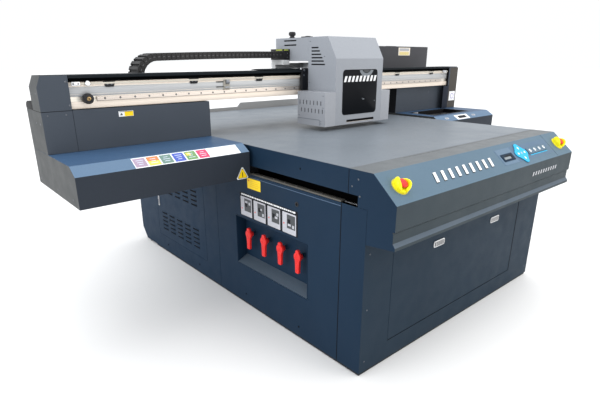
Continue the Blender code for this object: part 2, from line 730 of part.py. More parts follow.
# ---- Machinery in the cabinet ----------------------------------------------------------
def make_y_drives(palette):
    for side, place in (("left", 1.0), ("right", -1.0)):
        def across(x):
            return x if place > 0 else mirrored(x)

        low, high = span(across(Y_RAIL_X - Y_RAIL_SIZE / 2), across(Y_RAIL_X + Y_RAIL_SIZE / 2))
        add(f"y_rail_{side}", block((low, Y_RAIL_FRONT, RAIL_BEAM_TOP + GAP),
                                    (high, Y_RAIL_BACK, RAIL_BEAM_TOP + Y_RAIL_SIZE)),
            palette["steel"])
        centre = across(SCREW_X)
        add(f"y_screw_{side}", rod("y", (centre, SCREW_Z), SCREW_RADIUS, SCREW_FRONT,
                                   SCREW_BACK), palette["steel"], (centre, 0.0, SCREW_Z))
        add(f"y_motor_{side}", block((centre - MOTOR_HALF, SCREW_BACK + GAP, CROSS_TOP + GAP),
                                     (centre + MOTOR_HALF, MOTOR_BACK, SCREW_Z + MOTOR_HALF)),
            palette["black"])


def make_blower(palette):
    """Side-channel vacuum blower with its motor and a foot bar."""
    middle = BLOWER_Y + BLOWER_LENGTH / 2
    blower = add("vacuum_blower", rod("y", (BLOWER_X, BLOWER_AXIS_Z), BLOWER_RADIUS, BLOWER_Y,
                                      middle), palette["alloy"])
    join(blower, rod("y", (BLOWER_X, BLOWER_AXIS_Z), MOTOR_RADIUS, middle - SHEET,
                     middle + BLOWER_LENGTH))
    join(blower, block((BLOWER_X - MOTOR_RADIUS, BLOWER_Y + FLANGE, BOTTOM_BAR_Z + BAR + GAP),
                       (BLOWER_X + MOTOR_RADIUS, middle + BLOWER_LENGTH - FLANGE,
                        BLOWER_AXIS_Z - MOTOR_RADIUS / 2)))


def make_electrics(palette):
    """Control cabinet, open to the front where its own cover would close it."""
    box = add("electrical_box", block(ELECTRICS_LOW, ELECTRICS_HIGH), palette["grey"])
    cut(box, open_box(ELECTRICS_LOW, ELECTRICS_HIGH, SHEET, 1, -1))


# ---- Gantry ----------------------------------------------------------------------------
def make_beam(palette):
    low = (END_CAP_LEFT_INNER + GAP, BEAM_FRONT, BEAM_BOTTOM)
    high = (END_CAP_RIGHT_INNER - GAP, BEAM_BACK, BEAM_TOP)
    beam = add("gantry_beam", block(low, high), palette["alloy"])
    cut(beam, block((low[0] - POST, BEAM_FRONT + BEAM_WALL, BEAM_BOTTOM + BEAM_WALL),
                    (high[0] + POST, BEAM_BACK - BEAM_WALL, BEAM_TOP - BEAM_WALL)))
    add("x_rail", block((X_RAIL_LEFT, X_RAIL_FRONT, X_RAIL_BOTTOM),
                        (X_RAIL_RIGHT, BEAM_FRONT - GAP, X_RAIL_TOP)), palette["steel"])


def make_beam_cover(palette):
    """Bent sheet: front lip, roof, back wall, and the tray that holds the cable chain."""
    outer = [
        (HOUSING_FRONT, COVER_LIP), (HOUSING_FRONT, ROOF_TOP), (ROOF_BACK, ROOF_TOP),
        (ROOF_BACK, CHAIN_TRAY_Z), (CHAIN_TRAY_BACK - SHEET, CHAIN_TRAY_Z),
        (CHAIN_TRAY_BACK - SHEET, CHAIN_TRAY_LIP),
    ]
    inner = [
        (CHAIN_TRAY_BACK, CHAIN_TRAY_LIP), (CHAIN_TRAY_BACK, CHAIN_TRAY_Z - SHEET),
        (ROOF_BACK - SHEET, CHAIN_TRAY_Z - SHEET), (ROOF_BACK - SHEET, ROOF_TOP - SHEET),
        (HOUSING_FRONT + SHEET, ROOF_TOP - SHEET), (HOUSING_FRONT + SHEET, COVER_LIP),
    ]
    add("beam_cover", prism(outer + inner, "x", END_CAP_LEFT_INNER + GAP,
                            END_CAP_RIGHT_INNER - GAP), palette["grey"])


def wing_outline():
    return [(WING_FRONT, WING_BOTTOM), (WING_BACK, WING_BOTTOM), (WING_BACK, TRAY_TOP),
            (TRAY_FRONT, TRAY_TOP), (WING_FRONT, WING_FACE_TOP)]


def make_wing(name, outer_x, inner_x, upright, palette):
    """Hollow wing with openings for the leg's arm and upright."""
    low, high = span(outer_x, inner_x)
    wing = add(name, prism(wing_outline(), "x", low, high), palette["grey"])
    cut(wing, prism(inset(wing_outline(), SHEET), "x", low + SHEET, high - SHEET))
    cut(wing, block((inner_x - LEG_CLEARANCE, LEG_FRONT - LEG_CLEARANCE,
                     LEG_ARM_BOTTOM - LEG_CLEARANCE),
                    (inner_x + LEG_CLEARANCE, LEG_BACK + LEG_CLEARANCE,
                     LEG_ARM_TOP + LEG_CLEARANCE)))
    cut(wing, block((upright[0] - LEG_CLEARANCE, UPRIGHT_FRONT - LEG_CLEARANCE,
                     TRAY_TOP - LEG_CLEARANCE),
                    (upright[1] + LEG_CLEARANCE, UPRIGHT_BACK + LEG_CLEARANCE,
                     TRAY_TOP + LEG_CLEARANCE)))
    return wing


def make_wings(palette):
    left_upright = span(LEG_OUTER_X, UPRIGHT_INNER_X)
    right_upright = span(mirrored(LEG_OUTER_X), mirrored(UPRIGHT_INNER_X))
    make_wing("left_wing_cover", GANTRY_LEFT, LEFT_WING_INNER, left_upright, palette)
    wing = make_wing("right_wing_cover", GANTRY_RIGHT, RIGHT_WING_INNER, right_upright, palette)
    cut(wing, block((CAP_LEFT, CAP_FRONT, TRAY_TOP - LEG_CLEARANCE),
                    (CAP_RIGHT, CAP_BACK, TRAY_TOP + LEG_CLEARANCE)))


def make_housing(name, outer_x, inner_x, cap_inner_x, panel_front, upright, palette):
    """Tall housing behind a wing: a long low part and an end cap up to the roof."""
    base = TRAY_TOP + GAP
    low, high = span(outer_x, inner_x)
    body = prism([(panel_front, base), (WING_BACK, base), (WING_BACK, HOUSING_TOP),
                  (panel_front, HOUSING_TOP)], "x", low, high)
    housing = add(name, body, palette["grey"])
    inward = 1.0 if inner_x > outer_x else -1.0
    cap = [(outer_x, base), (outer_x, CAP_KINK_Z), (outer_x + inward * CAP_KINK_IN, ROOF_TOP),
           (cap_inner_x, ROOF_TOP), (cap_inner_x, base)]
    join(housing, prism(cap, "y", HOUSING_FRONT, ROOF_BACK))
    cut(housing, block((low + SHEET, panel_front + SHEET, base - FLANGE),
                       (high - SHEET, WING_BACK - SHEET, HOUSING_TOP - SHEET)))
    hollow = inset(cap, SHEET)
    hollow[0] = (hollow[0][0], base - FLANGE)
    hollow[-1] = (hollow[-1][0], base - FLANGE)
    cut(housing, prism(hollow, "y", HOUSING_FRONT + SHEET, ROOF_BACK - SHEET))
    clear = SHEET * 2
    cut(housing, block((upright[0] - clear, UPRIGHT_FRONT - clear, HOUSING_TOP - SHEET * 2),
                       (upright[1] + clear, UPRIGHT_BACK + clear, HOUSING_TOP + SHEET)))


def make_housings(palette):
    left_upright = span(LEG_OUTER_X, UPRIGHT_INNER_X)
    right_upright = span(mirrored(LEG_OUTER_X), mirrored(UPRIGHT_INNER_X))
    make_housing("left_end_housing", GANTRY_LEFT, LEFT_WING_INNER, END_CAP_LEFT_INNER,
                 HOUSING_FRONT, left_upright, palette)
    make_housing("right_end_housing", GANTRY_RIGHT, RIGHT_WING_INNER, END_CAP_RIGHT_INNER,
                 RIGHT_PANEL_FRONT, right_upright, palette)


def make_legs(palette):
    """Bent leg: block on the rail, arm out through the slot, and upright to the beam."""
    for side, place in (("left", 1.0), ("right", -1.0)):
        def across(x):
            return x if place > 0 else mirrored(x)

        outline = [
            (across(BLOCK_INNER_X), RAIL_BEAM_TOP + Y_RAIL_SIZE + GAP),
            (across(BLOCK_INNER_X), LEG_ARM_TOP), (across(LEG_OUTER_X), LEG_ARM_TOP),
            (across(LEG_OUTER_X), LEG_ARM_BOTTOM), (across(BLOCK_OUTER_X), LEG_ARM_BOTTOM),
            (across(BLOCK_OUTER_X), RAIL_BEAM_TOP + Y_RAIL_SIZE + GAP),
        ]
        leg = add(f"gantry_leg_{side}", prism(outline, "y", LEG_FRONT, LEG_BACK),
                  palette["frame"])
        low, high = span(across(LEG_OUTER_X), across(UPRIGHT_INNER_X))
        join(leg, block((low, UPRIGHT_FRONT, LEG_ARM_TOP - SHEET),
                        (high, UPRIGHT_BACK, BEAM_BOTTOM - GAP)))
        low, high = span(across(BLOCK_INNER_X - FLANGE), across(NUT_INNER_X))
        join(leg, block((low, NUT_FRONT, NUT_BOTTOM + FLANGE / 2), (high, NUT_BACK, NUT_TOP)))
        cut(leg, rod("y", (across(SCREW_X), SCREW_Z), SCREW_RADIUS + GAP * 2,
                     NUT_FRONT - POST, NUT_BACK + POST))


def make_cap_station(palette):
    station = block((CAP_LEFT + CAP_MARGIN, CAP_FRONT + CAP_MARGIN / 2, CAP_BOTTOM),
                    (CAP_RIGHT - CAP_MARGIN, CAP_BACK - CAP_MARGIN / 2, CAP_TOP))
    add("cap_station", station, palette["black"])


def make_ink_box(palette):
    low = (INK_LEFT, INK_FRONT, INK_BOTTOM)
    high = (GANTRY_RIGHT, INK_BACK, INK_TOP - LID_THICKNESS - GAP)
    box = add("ink_box", block(low, high), palette["grey"])
    cut(box, open_box(low, high, SHEET, 2, 1))
    add("ink_lid", block((INK_LEFT, INK_FRONT, INK_TOP - LID_THICKNESS),
                         (GANTRY_RIGHT, INK_BACK, INK_TOP)),
        palette["grey"], (INK_LEFT, INK_BACK, INK_TOP))


# ---- Cable chain -----------------------------------------------------------------------
def make_chain(palette):
    """The bend carries the lower run in the tray; the upper run reaches the bracket."""
    middle_z = (CHAIN_LOWER_Z + CHAIN_UPPER_Z) / 2
    inner = (CHAIN_UPPER_Z - CHAIN_LOWER_Z - CHAIN_HEIGHT) / 2
    outer = inner + CHAIN_HEIGHT
    centre = (CHAIN_BEND_LEFT + outer, middle_z)
    outline = arc(centre, outer, 90, 270, BEND_STEPS)
    outline += [(CHAIN_FIXED_X, middle_z - outer), (CHAIN_FIXED_X, middle_z - inner)]
    outline += arc(centre, inner, 270, 90, BEND_STEPS)
    add("cable_chain_bend", prism(outline, "y", CHAIN_FRONT, CHAIN_BACK), palette["black"])
    add("cable_chain_upper", block((centre[0] + GAP, CHAIN_FRONT, CHAIN_UPPER_Z
                                    - CHAIN_HEIGHT / 2),
                                   (SLIDER_LEFT - GAP, CHAIN_BACK, CHAIN_UPPER_Z
                                    + CHAIN_HEIGHT / 2)), palette["black"])


# ---- Carriage --------------------------------------------------------------------------
def make_slider(palette):
    """Plate on the front rail, saddle over the roof, and the arm that holds the chain."""
    plate = block((SLIDER_LEFT, SLIDER_FRONT, SLIDER_BOTTOM),
                  (SLIDER_RIGHT, SLIDER_BACK, SLIDER_TOP))
    slider = add("slider_plate", plate, palette["black"])
    cut(slider, block((SLIDER_LEFT - POST, HOUSING_FRONT - REVEAL * 2, COVER_LIP - REVEAL * 2),
                      (SLIDER_RIGHT + POST, SLIDER_BACK + POST, ROOF_TOP + REVEAL * 2)))
    join(slider, block((SADDLE_LEFT, SLIDER_FRONT, SADDLE_BOTTOM),
                       (SADDLE_RIGHT, SADDLE_BACK, SADDLE_TOP)))
    join(slider, block((SLIDER_LEFT, SADDLE_BACK - FLANGE * 2, SADDLE_BOTTOM + REVEAL),
                       (SADDLE_LEFT + FLANGE, SADDLE_BACK - REVEAL, SADDLE_TOP - REVEAL)))
    join(slider, block((SLIDER_LEFT, BRACKET_FRONT, SADDLE_TOP - BRACKET_PLATE),
                       (BRACKET_RIGHT, SADDLE_BACK - REVEAL * 2, BRACKET_TOP)))


def make_carriage_covers(palette):
    outline = [
        (CARRIAGE_FRONT, CARRIAGE_BOTTOM), (CARRIAGE_FRONT, CARRIAGE_KINK_Z),
        (CARRIAGE_KINK_Y, CARRIAGE_TOP), (CARRIAGE_SPLIT, CARRIAGE_TOP),
        (CARRIAGE_SPLIT, CARRIAGE_BOTTOM),
    ]
    cover = add("carriage_cover", prism(outline, "x", CARRIAGE_LEFT, CARRIAGE_RIGHT),
                palette["light"])
    hollow = inset(outline, SHEET)
    hollow[0] = (hollow[0][0], CARRIAGE_BOTTOM - FLANGE)
    hollow[3] = (CARRIAGE_SPLIT + FLANGE, hollow[3][1])
    hollow[4] = (CARRIAGE_SPLIT + FLANGE, CARRIAGE_BOTTOM - FLANGE)
    cut(cover, prism(hollow, "x", CARRIAGE_LEFT + SHEET, CARRIAGE_RIGHT - SHEET))
    low = (CARRIAGE_LEFT, CARRIAGE_SPLIT + GAP, BRIDGE_BOTTOM)
    high = (CARRIAGE_RIGHT, CARRIAGE_BACK, CARRIAGE_TOP)
    rear = add("carriage_rear_cover", block(low, high), palette["light"])
    cut(rear, open_box(low, high, SHEET, 1, -1))


def make_lamps(palette):
    """Ultraviolet lamp boxes on both sides of the carriage, open underneath."""
    corners = {
        "uv_lamp_left": ((LAMP_LEFT, LAMP_FRONT, CARRIAGE_BOTTOM),
                         (CARRIAGE_LEFT - GAP, CARRIAGE_SPLIT, LAMP_TOP)),
        "uv_lamp_right": ((CARRIAGE_RIGHT + GAP, CARRIAGE_FRONT, CARRIAGE_BOTTOM),
                          (LAMP_RIGHT, CARRIAGE_SPLIT, RIGHT_LAMP_TOP)),
    }
    for name, (low, high) in corners.items():
        lamp = add(name, block(low, high), palette["light"])
        cut(lamp, open_box(low, high, SHEET, 2, -1))


def make_heads(palette):
    """Base plate across the bottom of the carriage with the print heads standing in it."""
    clear = SHEET + GAP
    low = (CARRIAGE_LEFT + clear, CARRIAGE_FRONT + clear, CARRIAGE_BOTTOM)
    high = (CARRIAGE_RIGHT - clear, CARRIAGE_SPLIT - GAP, HEAD_PLATE_TOP)
    heads = add("print_head_plate", block(low, high), palette["steel"])
    pitch = (high[0] - low[0]) / (HEAD_COUNT + 1)
    for index in range(HEAD_COUNT):
        x = low[0] + pitch * (index + 1)
        join(heads, block((x - FLANGE, CARRIAGE_KINK_Y, CARRIAGE_BOTTOM + GAP * 2),
                          (x + FLANGE, CARRIAGE_SPLIT - POST, HEAD_PLATE_TOP + POST)))


def make_x_motor(palette):
    """Motor in the right end cap that drives the carriage belt."""
    middle = (END_CAP_RIGHT_INNER + GANTRY_RIGHT) / 2
    add("x_motor", block((middle - MOTOR_HALF, HOUSING_FRONT + FLANGE, HOUSING_TOP + FLANGE),
                         (middle + MOTOR_HALF, ROOF_BACK - FLANGE, ROOF_TOP - FLANGE)),
        palette["black"])


# ---- Whole machine ---------------------------------------------------------------------
def main():
    for thing in list(bpy.data.objects):
        bpy.data.objects.remove(thing, do_unlink=True)
    palette = make_palette()
    make_frame(palette)
    make_feet(palette)
    make_table(palette)
    make_skirts(palette)
    make_console(palette)
    make_front_panel(palette)
    make_side_panels(palette)
    make_rear_panel(palette)
    make_front_door(palette)
    make_side_door(palette)
    make_valve_tray(palette)
    make_manifold(palette)
    make_handles(palette)
    make_stop_button("left", STOP_LEFT_X, palette)
    make_stop_button("right", STOP_RIGHT_X, palette)
    make_keypad(palette)
    make_y_drives(palette)
    make_blower(palette)
    make_electrics(palette)
    make_beam(palette)
    make_beam_cover(palette)
    make_wings(palette)
    make_housings(palette)
    make_legs(palette)
    make_cap_station(palette)
    make_ink_box(palette)
    make_chain(palette)
    make_slider(palette)
    make_carriage_covers(palette)
    make_lamps(palette)
    make_heads(palette)
    make_x_motor(palette)


main()
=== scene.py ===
import math
import random

import bmesh
import bpy
from mathutils import Matrix, Vector


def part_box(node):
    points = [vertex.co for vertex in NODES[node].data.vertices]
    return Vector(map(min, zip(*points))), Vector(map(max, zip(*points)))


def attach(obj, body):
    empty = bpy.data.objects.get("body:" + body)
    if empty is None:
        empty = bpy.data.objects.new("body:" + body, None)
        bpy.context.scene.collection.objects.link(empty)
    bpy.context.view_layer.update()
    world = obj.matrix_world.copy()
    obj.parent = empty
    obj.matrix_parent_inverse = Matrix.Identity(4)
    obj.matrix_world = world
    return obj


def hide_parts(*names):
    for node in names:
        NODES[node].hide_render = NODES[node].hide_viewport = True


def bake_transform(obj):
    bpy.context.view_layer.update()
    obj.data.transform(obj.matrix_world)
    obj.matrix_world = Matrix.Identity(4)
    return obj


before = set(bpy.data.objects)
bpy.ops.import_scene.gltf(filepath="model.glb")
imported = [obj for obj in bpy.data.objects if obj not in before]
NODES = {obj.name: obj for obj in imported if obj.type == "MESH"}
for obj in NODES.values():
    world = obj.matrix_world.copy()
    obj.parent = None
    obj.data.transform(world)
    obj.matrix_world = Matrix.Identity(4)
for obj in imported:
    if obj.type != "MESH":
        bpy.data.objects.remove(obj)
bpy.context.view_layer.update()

# Shapes below are drawn in cabinet coordinates: x from the cabinet's left side, y from its
# front sheet, z from the floor. ORIGIN moves them into the frame.
ORIGIN = Vector((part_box("front_panel")[0].x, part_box("front_panel")[0].y, 0.0))


def low_of(node):
    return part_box(node)[0] - ORIGIN


def high_of(node):
    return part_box(node)[1] - ORIGIN


WIDTH = high_of("front_panel").x
TABLE_TOP = high_of("vacuum_table").z
SLOT_BOTTOM = high_of("side_panel_right").z
CONSOLE_TOP_FRONT = -0.02
FASCIA = -0.129
FASCIA_TOP = 0.765
GANTRY_LEFT = low_of("left_wing_cover").x
GANTRY_RIGHT = high_of("right_wing_cover").x
WING_FRONT = low_of("left_wing_cover").y
WING_BACK = high_of("left_wing_cover").y
WING_FACE_TOP = 0.837
TRAY_FRONT = 0.75
TRAY_TOP = high_of("left_wing_cover").z
HOUSING_FRONT = low_of("left_end_housing").y
HOUSING_TOP = 1.041
ROOF_TOP = high_of("beam_cover").z
BEAM_FRONT = low_of("gantry_beam").y
BEAM_LEFT = low_of("gantry_beam").x
BEAM_RIGHT = high_of("gantry_beam").x


# ---- Stage: camera, light and floor ------------------------------------------------------
def make_camera():
    data = bpy.data.cameras.new("camera")
    data.lens = 27.85
    data.sensor_width = 36.0
    data.shift_x = 0.0121
    data.shift_y = 0.0345
    camera = add_object("camera", data)
    camera.location = ORIGIN + Vector((-1.235, -1.041, 1.238))
    camera.rotation_euler = (math.radians(70.769), math.radians(0.149), math.radians(-40.35))
    bpy.context.scene.camera = camera


def area_light(name, place, target, size, power, colour):
    data = bpy.data.lights.new(name, "AREA")
    data.shape = "RECTANGLE"
    data.size, data.size_y = size
    data.energy = power
    data.color = colour
    lamp = add_object(name, data)
    lamp.location = place
    direction = Vector(target) - Vector(place)
    lamp.rotation_euler = direction.to_track_quat("-Z", "Y").to_euler()
    lamp.visible_camera = False
    return lamp


def make_stage():
    scene = bpy.context.scene
    scene.view_settings.view_transform = "Standard"
    world = bpy.data.worlds.new("studio")
    world.use_nodes = True
    world.node_tree.nodes["Background"].inputs["Color"].default_value = (0.97, 0.985, 1.0, 1.0)
    world.node_tree.nodes["Background"].inputs["Strength"].default_value = 1.03
    scene.world = world
    sky = bpy.data.lights.new("sky_panel", "SUN")
    sky.energy = 2.1
    sky.angle = math.radians(75.0)
    lamp = add_object("sky_panel", sky)
    lamp.rotation_euler = (math.radians(8.0), math.radians(14.0), 0.0)
    area_light("left_light", (-7.0, 0.5, 3.0), (0, 0, 1.0), (6.0, 3.0), 260.0, (0.96, 0.98, 1.0))
    area_light("front_light", (2.5, -5.0, 2.2), (0, 0, 0.6), (4.0, 3.0), 90.0, (1.0, 0.95, 0.88))
    mesh = bmesh.new()
    bmesh.ops.create_grid(mesh, x_segments=1, y_segments=1, size=60.0)
    data = mesh_data("floor", mesh)
    floor = add_object("floor", data)
    floor.location = (0.0, 0.0, -0.001)
    graph = Graph("studio_floor")
    patches = graph.noise(0.7, 3.0)
    graph.to("Base Color", graph.mix(patches, (0.72, 0.72, 0.72, 1), (0.75, 0.75, 0.75, 1)))
    graph.to("Roughness", graph.span(patches, 0.3, 0.7, 0.7, 0.85))
    data.materials.append(graph.material)


# ---- Materials -----------------------------------------------------------------------------
class Graph:
    """Short way to add and link the nodes of one material."""

    def __init__(self, name):
        self.material = bpy.data.materials.new(name)
        self.material.use_nodes = True
        self.tree = self.material.node_tree
        self.shader = self.tree.nodes["Principled BSDF"]

    def node(self, kind, links=None, **values):
        made = self.tree.nodes.new(kind)
        for key, value in values.items():
            setattr(made, key, value)
        for socket, source in (links or {}).items():
            if isinstance(source, bpy.types.NodeSocket):
                self.tree.links.new(source, made.inputs[socket])
            else:
                made.inputs[socket].default_value = source
        return made

    def place(self):
        return self.node("ShaderNodeTexCoord").outputs["Object"]

    def noise(self, scale, detail=3.0, stretch=None):
        at = self.place()
        if stretch:
            at = self.node("ShaderNodeMapping", {"Vector": at, "Scale": stretch}).outputs[0]
        return self.node("ShaderNodeTexNoise", {"Vector": at, "Scale": scale,
            "Detail": detail}).outputs["Fac"]

    def span(self, value, low, high, start=0.0, end=1.0):
        return self.node("ShaderNodeMapRange", {"Value": value, "From Min": low, "From Max": high,
            "To Min": start, "To Max": end}).outputs["Result"]

    def maths(self, operation, first, second=0.5):
        return self.node("ShaderNodeMath", {0: first, 1: second}, operation=operation).outputs[0]

    def mix(self, factor, first, second, blend="MIX"):
        made = self.node("ShaderNodeMix", data_type="RGBA", blend_type=blend)
        for index, source in ((0, factor), (6, first), (7, second)):
            if isinstance(source, bpy.types.NodeSocket):
                self.tree.links.new(source, made.inputs[index])
            else:
                made.inputs[index].default_value = source
        return made.outputs[2]

    def bump(self, height, distance, strength=1.0):
        bump = self.node("ShaderNodeBump", {"Height": height, "Distance": distance,
            "Strength": strength})
        self.to("Normal", bump.outputs["Normal"])

    def to(self, socket, source):
        if isinstance(source, bpy.types.NodeSocket):
            self.tree.links.new(source, self.shader.inputs[socket])
        else:
            self.shader.inputs[socket].default_value = source


def tint(colour, factor):
    return tuple(min(1.0, channel * factor) for channel in colour) + (1.0,)


def coat_colour(graph, colour, variation, grain_scale):
    """Large soft patches times a fine speckle."""
    patches = graph.span(graph.noise(2.3, 4.0), 0.3, 0.7)
    speck = graph.span(graph.noise(grain_scale * 0.5, 2.0), 0.35, 0.65)
    body = graph.mix(patches, tint(colour, 1 - variation), tint(colour, 1 + variation))
    fine = graph.mix(speck, (0.92, 0.92, 0.92, 1), (1.04, 1.04, 1.04, 1))
    return graph.mix(1.0, body, fine, "MULTIPLY")


def make_coat(name, colour, roughness, variation=0.06, grain=0.00012, specular=0.25, metallic=0.0,
        grain_scale=900.0):
    """Powder coat or moulded plastic: soft patches, fine grain and uneven gloss."""
    graph = Graph(name)
    graph.to("Base Color", coat_colour(graph, colour, variation, grain_scale))
    graph.to("Roughness", graph.span(graph.noise(14.0, 5.0), 0.3, 0.7, roughness - 0.05,
        roughness + 0.06))
    graph.to("Metallic", metallic)
    graph.to("Specular IOR Level", specular)
    graph.bump(graph.noise(grain_scale, 2.0), grain)
    return graph.material


def make_brushed(name, colour, roughness, stretch, variation=0.15, metallic=1.0):
    """Drawn or ground metal: long fine lines along one direction."""
    graph = Graph(name)
    lines = graph.noise(1.0, 6.0, stretch)
    graph.to("Base Color", graph.mix(graph.span(lines, 0.35, 0.65), tint(colour, 1 - variation),
        tint(colour, 1 + variation)))
    graph.to("Roughness", graph.span(lines, 0.3, 0.7, roughness - 0.07, roughness + 0.1))
    graph.to("Metallic", metallic)
    graph.bump(lines, 0.00008)
    return graph.material


HOLE_PITCH = 0.03
HOLE_RADIUS = 0.0011


def make_table_material():
    """Anodised plate with a grid of small suction holes, drawn as dark dots with a dent in the
    bump.
    """
    graph = Graph("table_plate")
    graph.to("Specular IOR Level", 0.16)
    parts = graph.node("ShaderNodeSeparateXYZ", {0: graph.place()})
    offsets = []
    for axis in ("X", "Y"):
        cell = graph.maths("DIVIDE", parts.outputs[axis], HOLE_PITCH)
        part = graph.maths("FRACT", cell, 0.0)
        offsets.append(graph.maths("SUBTRACT", part, 0.5))
    squares = [graph.maths("MULTIPLY", offset, offset) for offset in offsets]
    distance = graph.maths("SQRT", graph.maths("ADD", squares[0], squares[1]), 0.0)
    edge = HOLE_RADIUS / HOLE_PITCH
    hole = graph.span(distance, edge * 0.8, edge * 1.2, 1.0, 0.0)
    colour = coat_colour(graph, (0.16, 0.182, 0.208), 0.04, 700.0)
    # The dark dots at the holes are painted shade for the holes' insides; no hole is cut.
    graph.to("Base Color", graph.mix(hole, colour, (0.03, 0.03, 0.035, 1.0)))
    graph.to("Roughness", graph.span(graph.noise(9.0, 6.0), 0.3, 0.7, 0.34, 0.42))
    graph.bump(graph.maths("SUBTRACT", graph.span(graph.noise(700.0, 2.0), 0, 1, 0, 0.06), hole),
        0.0006)
    return graph.material


PAINTS = {}
# Coats named after the faces they cover are lighter and darker copies of one paint: painted light
# and shade for how light falls. These are the cabinet's side, front, fascia, slope, strip and lip
# coats, the strip being a painted reflection on the console's top, and the gantry's wing_front,
# gantry_end, tray and chamfer coats beside its gantry coat.
COATS = {
    "side": ((0.0085, 0.0225, 0.045), 0.5, 0.07, 0.08),
    "front": ((0.0145, 0.0275, 0.044), 0.5, 0.06, 0.08),
    "fascia": ((0.0335, 0.046, 0.0545), 0.5, 0.05, 0.1),
    "slope": ((0.092, 0.147, 0.198), 0.48, 0.04, 0.12),
    "lip_shade_and_light": ((0.06, 0.084, 0.112), 0.48, 0.04),
    "strip": ((0.115, 0.126, 0.134), 0.45, 0.04),
    "gantry": ((0.055, 0.066, 0.083), 0.5, 0.06, 0.12),
    "ink": ((0.06, 0.061, 0.068), 0.5, 0.06, 0.12),
    "wing_front": ((0.0255, 0.0315, 0.042), 0.5, 0.06, 0.1),
    "gantry_end": ((0.052, 0.055, 0.056), 0.5, 0.05, 0.12),
    "gantry_roof": ((0.013, 0.016, 0.019), 0.6, 0.05, 0.04),
    "tray": ((0.04, 0.084, 0.16), 0.45, 0.06, 0.15),
    "chamfer": ((0.1, 0.163, 0.25), 0.45, 0.04, 0.12),
    "light": ((0.295, 0.313, 0.345), 0.42, 0.03, 0.15),
    # Near-black for dark joints and screws, and painted shade in holes, slots and behind openings.
    "black_parts_and_shade": ((0.006, 0.006, 0.007), 0.7, 0.1, 0.05),
    "black": ((0.016, 0.016, 0.018), 0.45, 0.1),
    "rubber": ((0.022, 0.022, 0.023), 0.75, 0.1),
    "red": ((0.68, 0.022, 0.02), 0.32, 0.08),
    "yellow": ((0.86, 0.76, 0.008), 0.35, 0.05),
    "cyan": ((0.008, 0.37, 0.62), 0.4, 0.04),
    "white": ((0.82, 0.83, 0.84), 0.45, 0.02),
    "grey_print": ((0.42, 0.43, 0.46), 0.45, 0.04),
    "dark_print": ((0.055, 0.06, 0.065), 0.4, 0.1),
    "frame": ((0.085, 0.085, 0.09), 0.55, 0.2),
    "label_yellow": ((0.9, 0.62, 0.004), 0.45, 0.04),
    "mauve": ((0.33, 0.25, 0.34), 0.45, 0.08),
    "orange": ((0.8, 0.2, 0.07), 0.45, 0.08),
    "amber": ((0.8, 0.55, 0.1), 0.45, 0.08),
    "sage": ((0.13, 0.22, 0.19), 0.45, 0.08),
    "indigo": ((0.06, 0.1, 0.42), 0.45, 0.08),
    "leaf": ((0.14, 0.27, 0.1), 0.45, 0.08),
    "crimson": ((0.72, 0.05, 0.13), 0.45, 0.08),
    "pale_blue": ((0.56, 0.62, 0.72), 0.45, 0.04),
    "overlay": ((0.084, 0.138, 0.205), 0.4, 0.03, 0.12),
    "overlay_pale": ((0.11, 0.17, 0.24), 0.4, 0.03, 0.12),
    "screen": ((0.2, 0.23, 0.25), 0.2, 0.05),
    # Near-black for boards and print, and painted shade on the right end housing's left-looking
    # faces.
    "board": ((0.008, 0.009, 0.012), 0.5, 0.1, 0.1),
    "placard": ((0.46, 0.46, 0.5), 0.45, 0.05),
    "label_amber": ((0.66, 0.44, 0.004), 0.45, 0.05),
    "cream_label": ((0.78, 0.72, 0.62), 0.45, 0.04),
    "violet": ((0.3, 0.26, 0.52), 0.45, 0.05),
    "yellow_soft": ((0.5, 0.44, 0.05), 0.45, 0.1),
    # Lighter blue for the side panels' top edge: painted highlight.
    "edge_highlight": ((0.075, 0.12, 0.19), 0.4, 0.05),
    "ledge": ((0.095, 0.09, 0.08), 0.45, 0.1),
    "latch_face": ((0.42, 0.42, 0.43), 0.4, 0.05),
    "sensor": ((0.34, 0.32, 0.28), 0.45, 0.06),
    "lamp": ((0.33, 0.344, 0.375), 0.42, 0.03, 0.15),
    "navy": ((0.012, 0.017, 0.03), 0.5, 0.06, 0.1),
    "end_warm": ((0.064, 0.058, 0.052), 0.5, 0.06, 0.1),
    "pale_amber": ((0.74, 0.62, 0.28), 0.45, 0.05),
    "rear_light": ((0.36, 0.36, 0.36), 0.45, 0.05),
    "light_edge": ((0.17, 0.19, 0.21), 0.45, 0.05),
    "leaf_yellow": ((0.42, 0.48, 0.08), 0.45, 0.05),
    "belt": ((0.62, 0.58, 0.5), 0.55, 0.05),
    "band_grey": ((0.34, 0.35, 0.37), 0.45, 0.05),
    "chain": ((0.02, 0.02, 0.021), 0.45, 0.1),
    "chain_inner": ((0.009, 0.009, 0.01), 0.55, 0.1),
    # Light grey for dashes on the chain links: painted highlight.
    "chain_dash_highlight": ((0.16, 0.16, 0.17), 0.45, 0.1),
}


